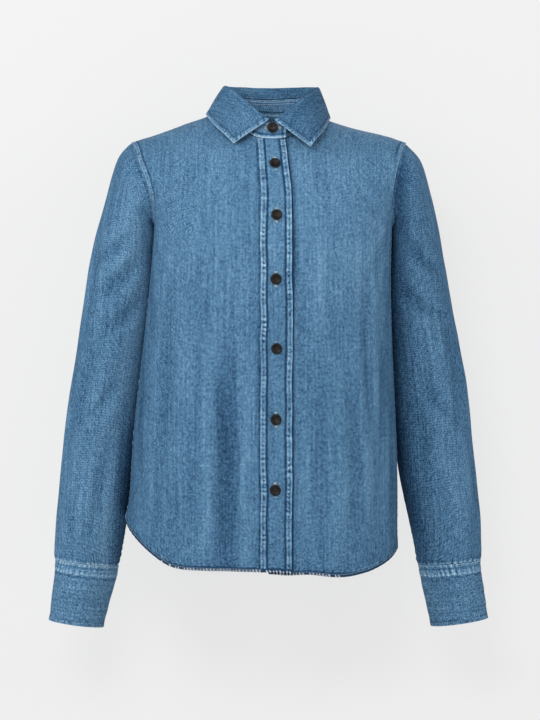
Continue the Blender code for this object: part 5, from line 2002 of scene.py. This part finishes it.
def studio():
    floor = bmesh.new()
    bmesh.ops.create_grid(
        floor, x_segments=1, y_segments=1, size=FLOOR_HALF, matrix=Matrix.Translation((0, 0, FLOOR_Z)),
    )
    wall = bmesh.new()
    upright = Matrix.Translation((0, WALL_Y, FLOOR_Z + WALL_WIDTH / 2)) @ Matrix.Rotation(math.pi / 2, 4, "X")
    bmesh.ops.create_grid(wall, x_segments=1, y_segments=1, size=WALL_WIDTH / 2, matrix=upright)
    dome = bmesh.new()
    bmesh.ops.create_uvsphere(dome, u_segments=32, v_segments=16, radius=ROOM_RADIUS)
    backdrop = new_piece("backdrop", wall, paper("backdrop_paper", one_sided=True))
    room = new_piece("room", dome, paper("room_paper"))
    for obj in (backdrop, room):
        obj.visible_shadow = False
        obj.visible_diffuse = False
        obj.visible_glossy = False
    new_piece("floor", floor, paper("floor_paper"))

    world = bpy.data.worlds.new("studio")
    bpy.context.scene.world = world
    world.use_nodes = True
    sky = world.node_tree.nodes["Background"]
    sky.inputs["Color"].default_value = (*SKY, 1)
    sky.inputs["Strength"].default_value = SKY_STRENGTH

    for name, place, width, height, power in LAMPS:
        lamp = bpy.data.lights.new(name, "AREA")
        lamp.shape = "RECTANGLE"
        lamp.size = width
        lamp.size_y = height
        lamp.energy = power
        obj = bpy.data.objects.new(name, lamp)
        obj.location = place
        obj.rotation_mode = "QUATERNION"
        obj.rotation_quaternion = (Vector(LAMP_AIM) - Vector(place)).to_track_quat("-Z", "Y")
        bpy.context.scene.collection.objects.link(obj)

    lens = bpy.data.cameras.new("camera")
    lens.sensor_fit = "HORIZONTAL"
    lens.sensor_width = SENSOR
    lens.lens = LENS
    lens.clip_end = 100
    camera = bpy.data.objects.new("camera", lens)
    camera.location = CAMERA_AT
    camera.rotation_euler = (math.radians(90), 0, 0)
    bpy.context.scene.collection.objects.link(camera)
    bpy.context.scene.camera = camera
    bpy.context.scene.view_settings.view_transform = "Standard"


# ---------------------------------------------------------------- sewing it together

def sew():
    thread = plain("pale_thread", THREAD_PALE, 0.75)
    bleached = plain("bleached_ridges", THREAD_BLEACHED, 0.85)
    ochre = plain("buttonhole_thread", THREAD_OCHRE, 0.75)
    brown = plain("button_thread", THREAD_BROWN, 0.7)
    horn = button_finish()

    sewn = (
        (front("right"), denim("front_denim_right", 0.0, 1.0)),
        (front("left"), denim("front_denim_left", 0.025, 5.0)),
        (back_cloth(), denim("back_denim", 0.0, 9.0)),
        (yoke_cloth(), denim("yoke_denim", 0.0, 13.0)),
        (sleeve_cloth("right"), denim("sleeve_denim_right", -0.02, 17.0)),
        (sleeve_cloth("left"), denim("sleeve_denim_left", -0.05, 21.0)),
        (cuff_cloth("right"), denim("cuff_denim_right", 0.06, 25.0, 1.2, crosswise=True)),
        (cuff_cloth("left"), denim("cuff_denim_left", -0.02, 29.0, 1.2, crosswise=True)),
        (placket_cloth(), denim("placket_denim", 0.03, 33.0)),
        (stand_cloth(), denim("stand_denim", -0.02, 37.0)),
        (leaf_cloth(), denim("leaf_denim", 0.0, 41.0)),
    )
    for cloth, finish in sewn:
        show(cloth, finish)
    cloths = {cloth.name: cloth for cloth, finish in sewn}

    for name, lines in STITCH_LINES.items():
        runs = [cloths[name].line_at(seam, inset, STITCH_PITCH, start) for seam, inset, start in lines]
        stitches(name + "_stitching", runs, STITCH_RADIUS, thread)
    for name, seam, seed in (("right_front", "hem", 7), ("left_front", "hem", 8), ("placket", "foot", 9)):
        rubbed_ridges(name + "_hem_ridges", cloths[name], seam, seed, bleached)
    inner = []
    for inset, start, stop in STAND_INNER_LINES:
        points, normals = cloths["collar_stand"].line_at("top", inset, STITCH_PITCH, start, stop)
        inner.append((points, -normals))
    radius = STITCH_RADIUS * STAND_INNER_THICKER
    stitches("collar_stand_inner_stitching", inner, radius, bleached)

    holes = Thread()

    def fasten(name, place, normal, along, size):
        """A button with its thread, in a buttonhole that runs along a direction."""
        button(name, place, normal, horn)
        button_thread(name.replace("button", "thread"), place, normal, brown)
        buttonhole(holes, place - normal * (BUTTON_GAP - HOLE_PROUD), normal, along, *size)

    for i, at in enumerate(zip(FRONT_BUTTONS["z"], FRONT_BUTTONS["x"])):
        place, normal = button_place(*at)
        fasten(f"front_button_{i + 1}", place, normal, normal.cross(Vector((1, 0, 0))), FRONT_HOLE)
    fasten("stand_button", *stand_button_place(), Vector((1, 0, 0)), STAND_HOLE)
    for side in ("right", "left"):
        place, normal = cuff_button_place(CUFF[side])
        fasten(side + "_cuff_button", place, normal, normal.cross(Vector((0, 0, 1))), CUFF_HOLE)
    holes.piece("buttonholes", ochre)


def plain(name, colour, roughness):
    finish = Finish(name, roughness)
    grain = finish.patches(finish.object_place((900, 900, 900)), 1.0)
    darker = tuple(part * 0.75 for part in colour)
    finish.set("Base Color", finish.blended(finish.between(grain, 0.3, 0.7), darker, colour))
    return finish.material


def button_finish():
    finish = Finish("horn_brown", 0.45, Specular_IOR_Level=0.18)
    cloud = finish.patches(finish.object_place((260, 260, 260)), 3.0)
    finish.set("Base Color", finish.blended(finish.between(cloud, 0.35, 0.75), HORN_DEEP, HORN))
    return finish.material


sew()
studio()
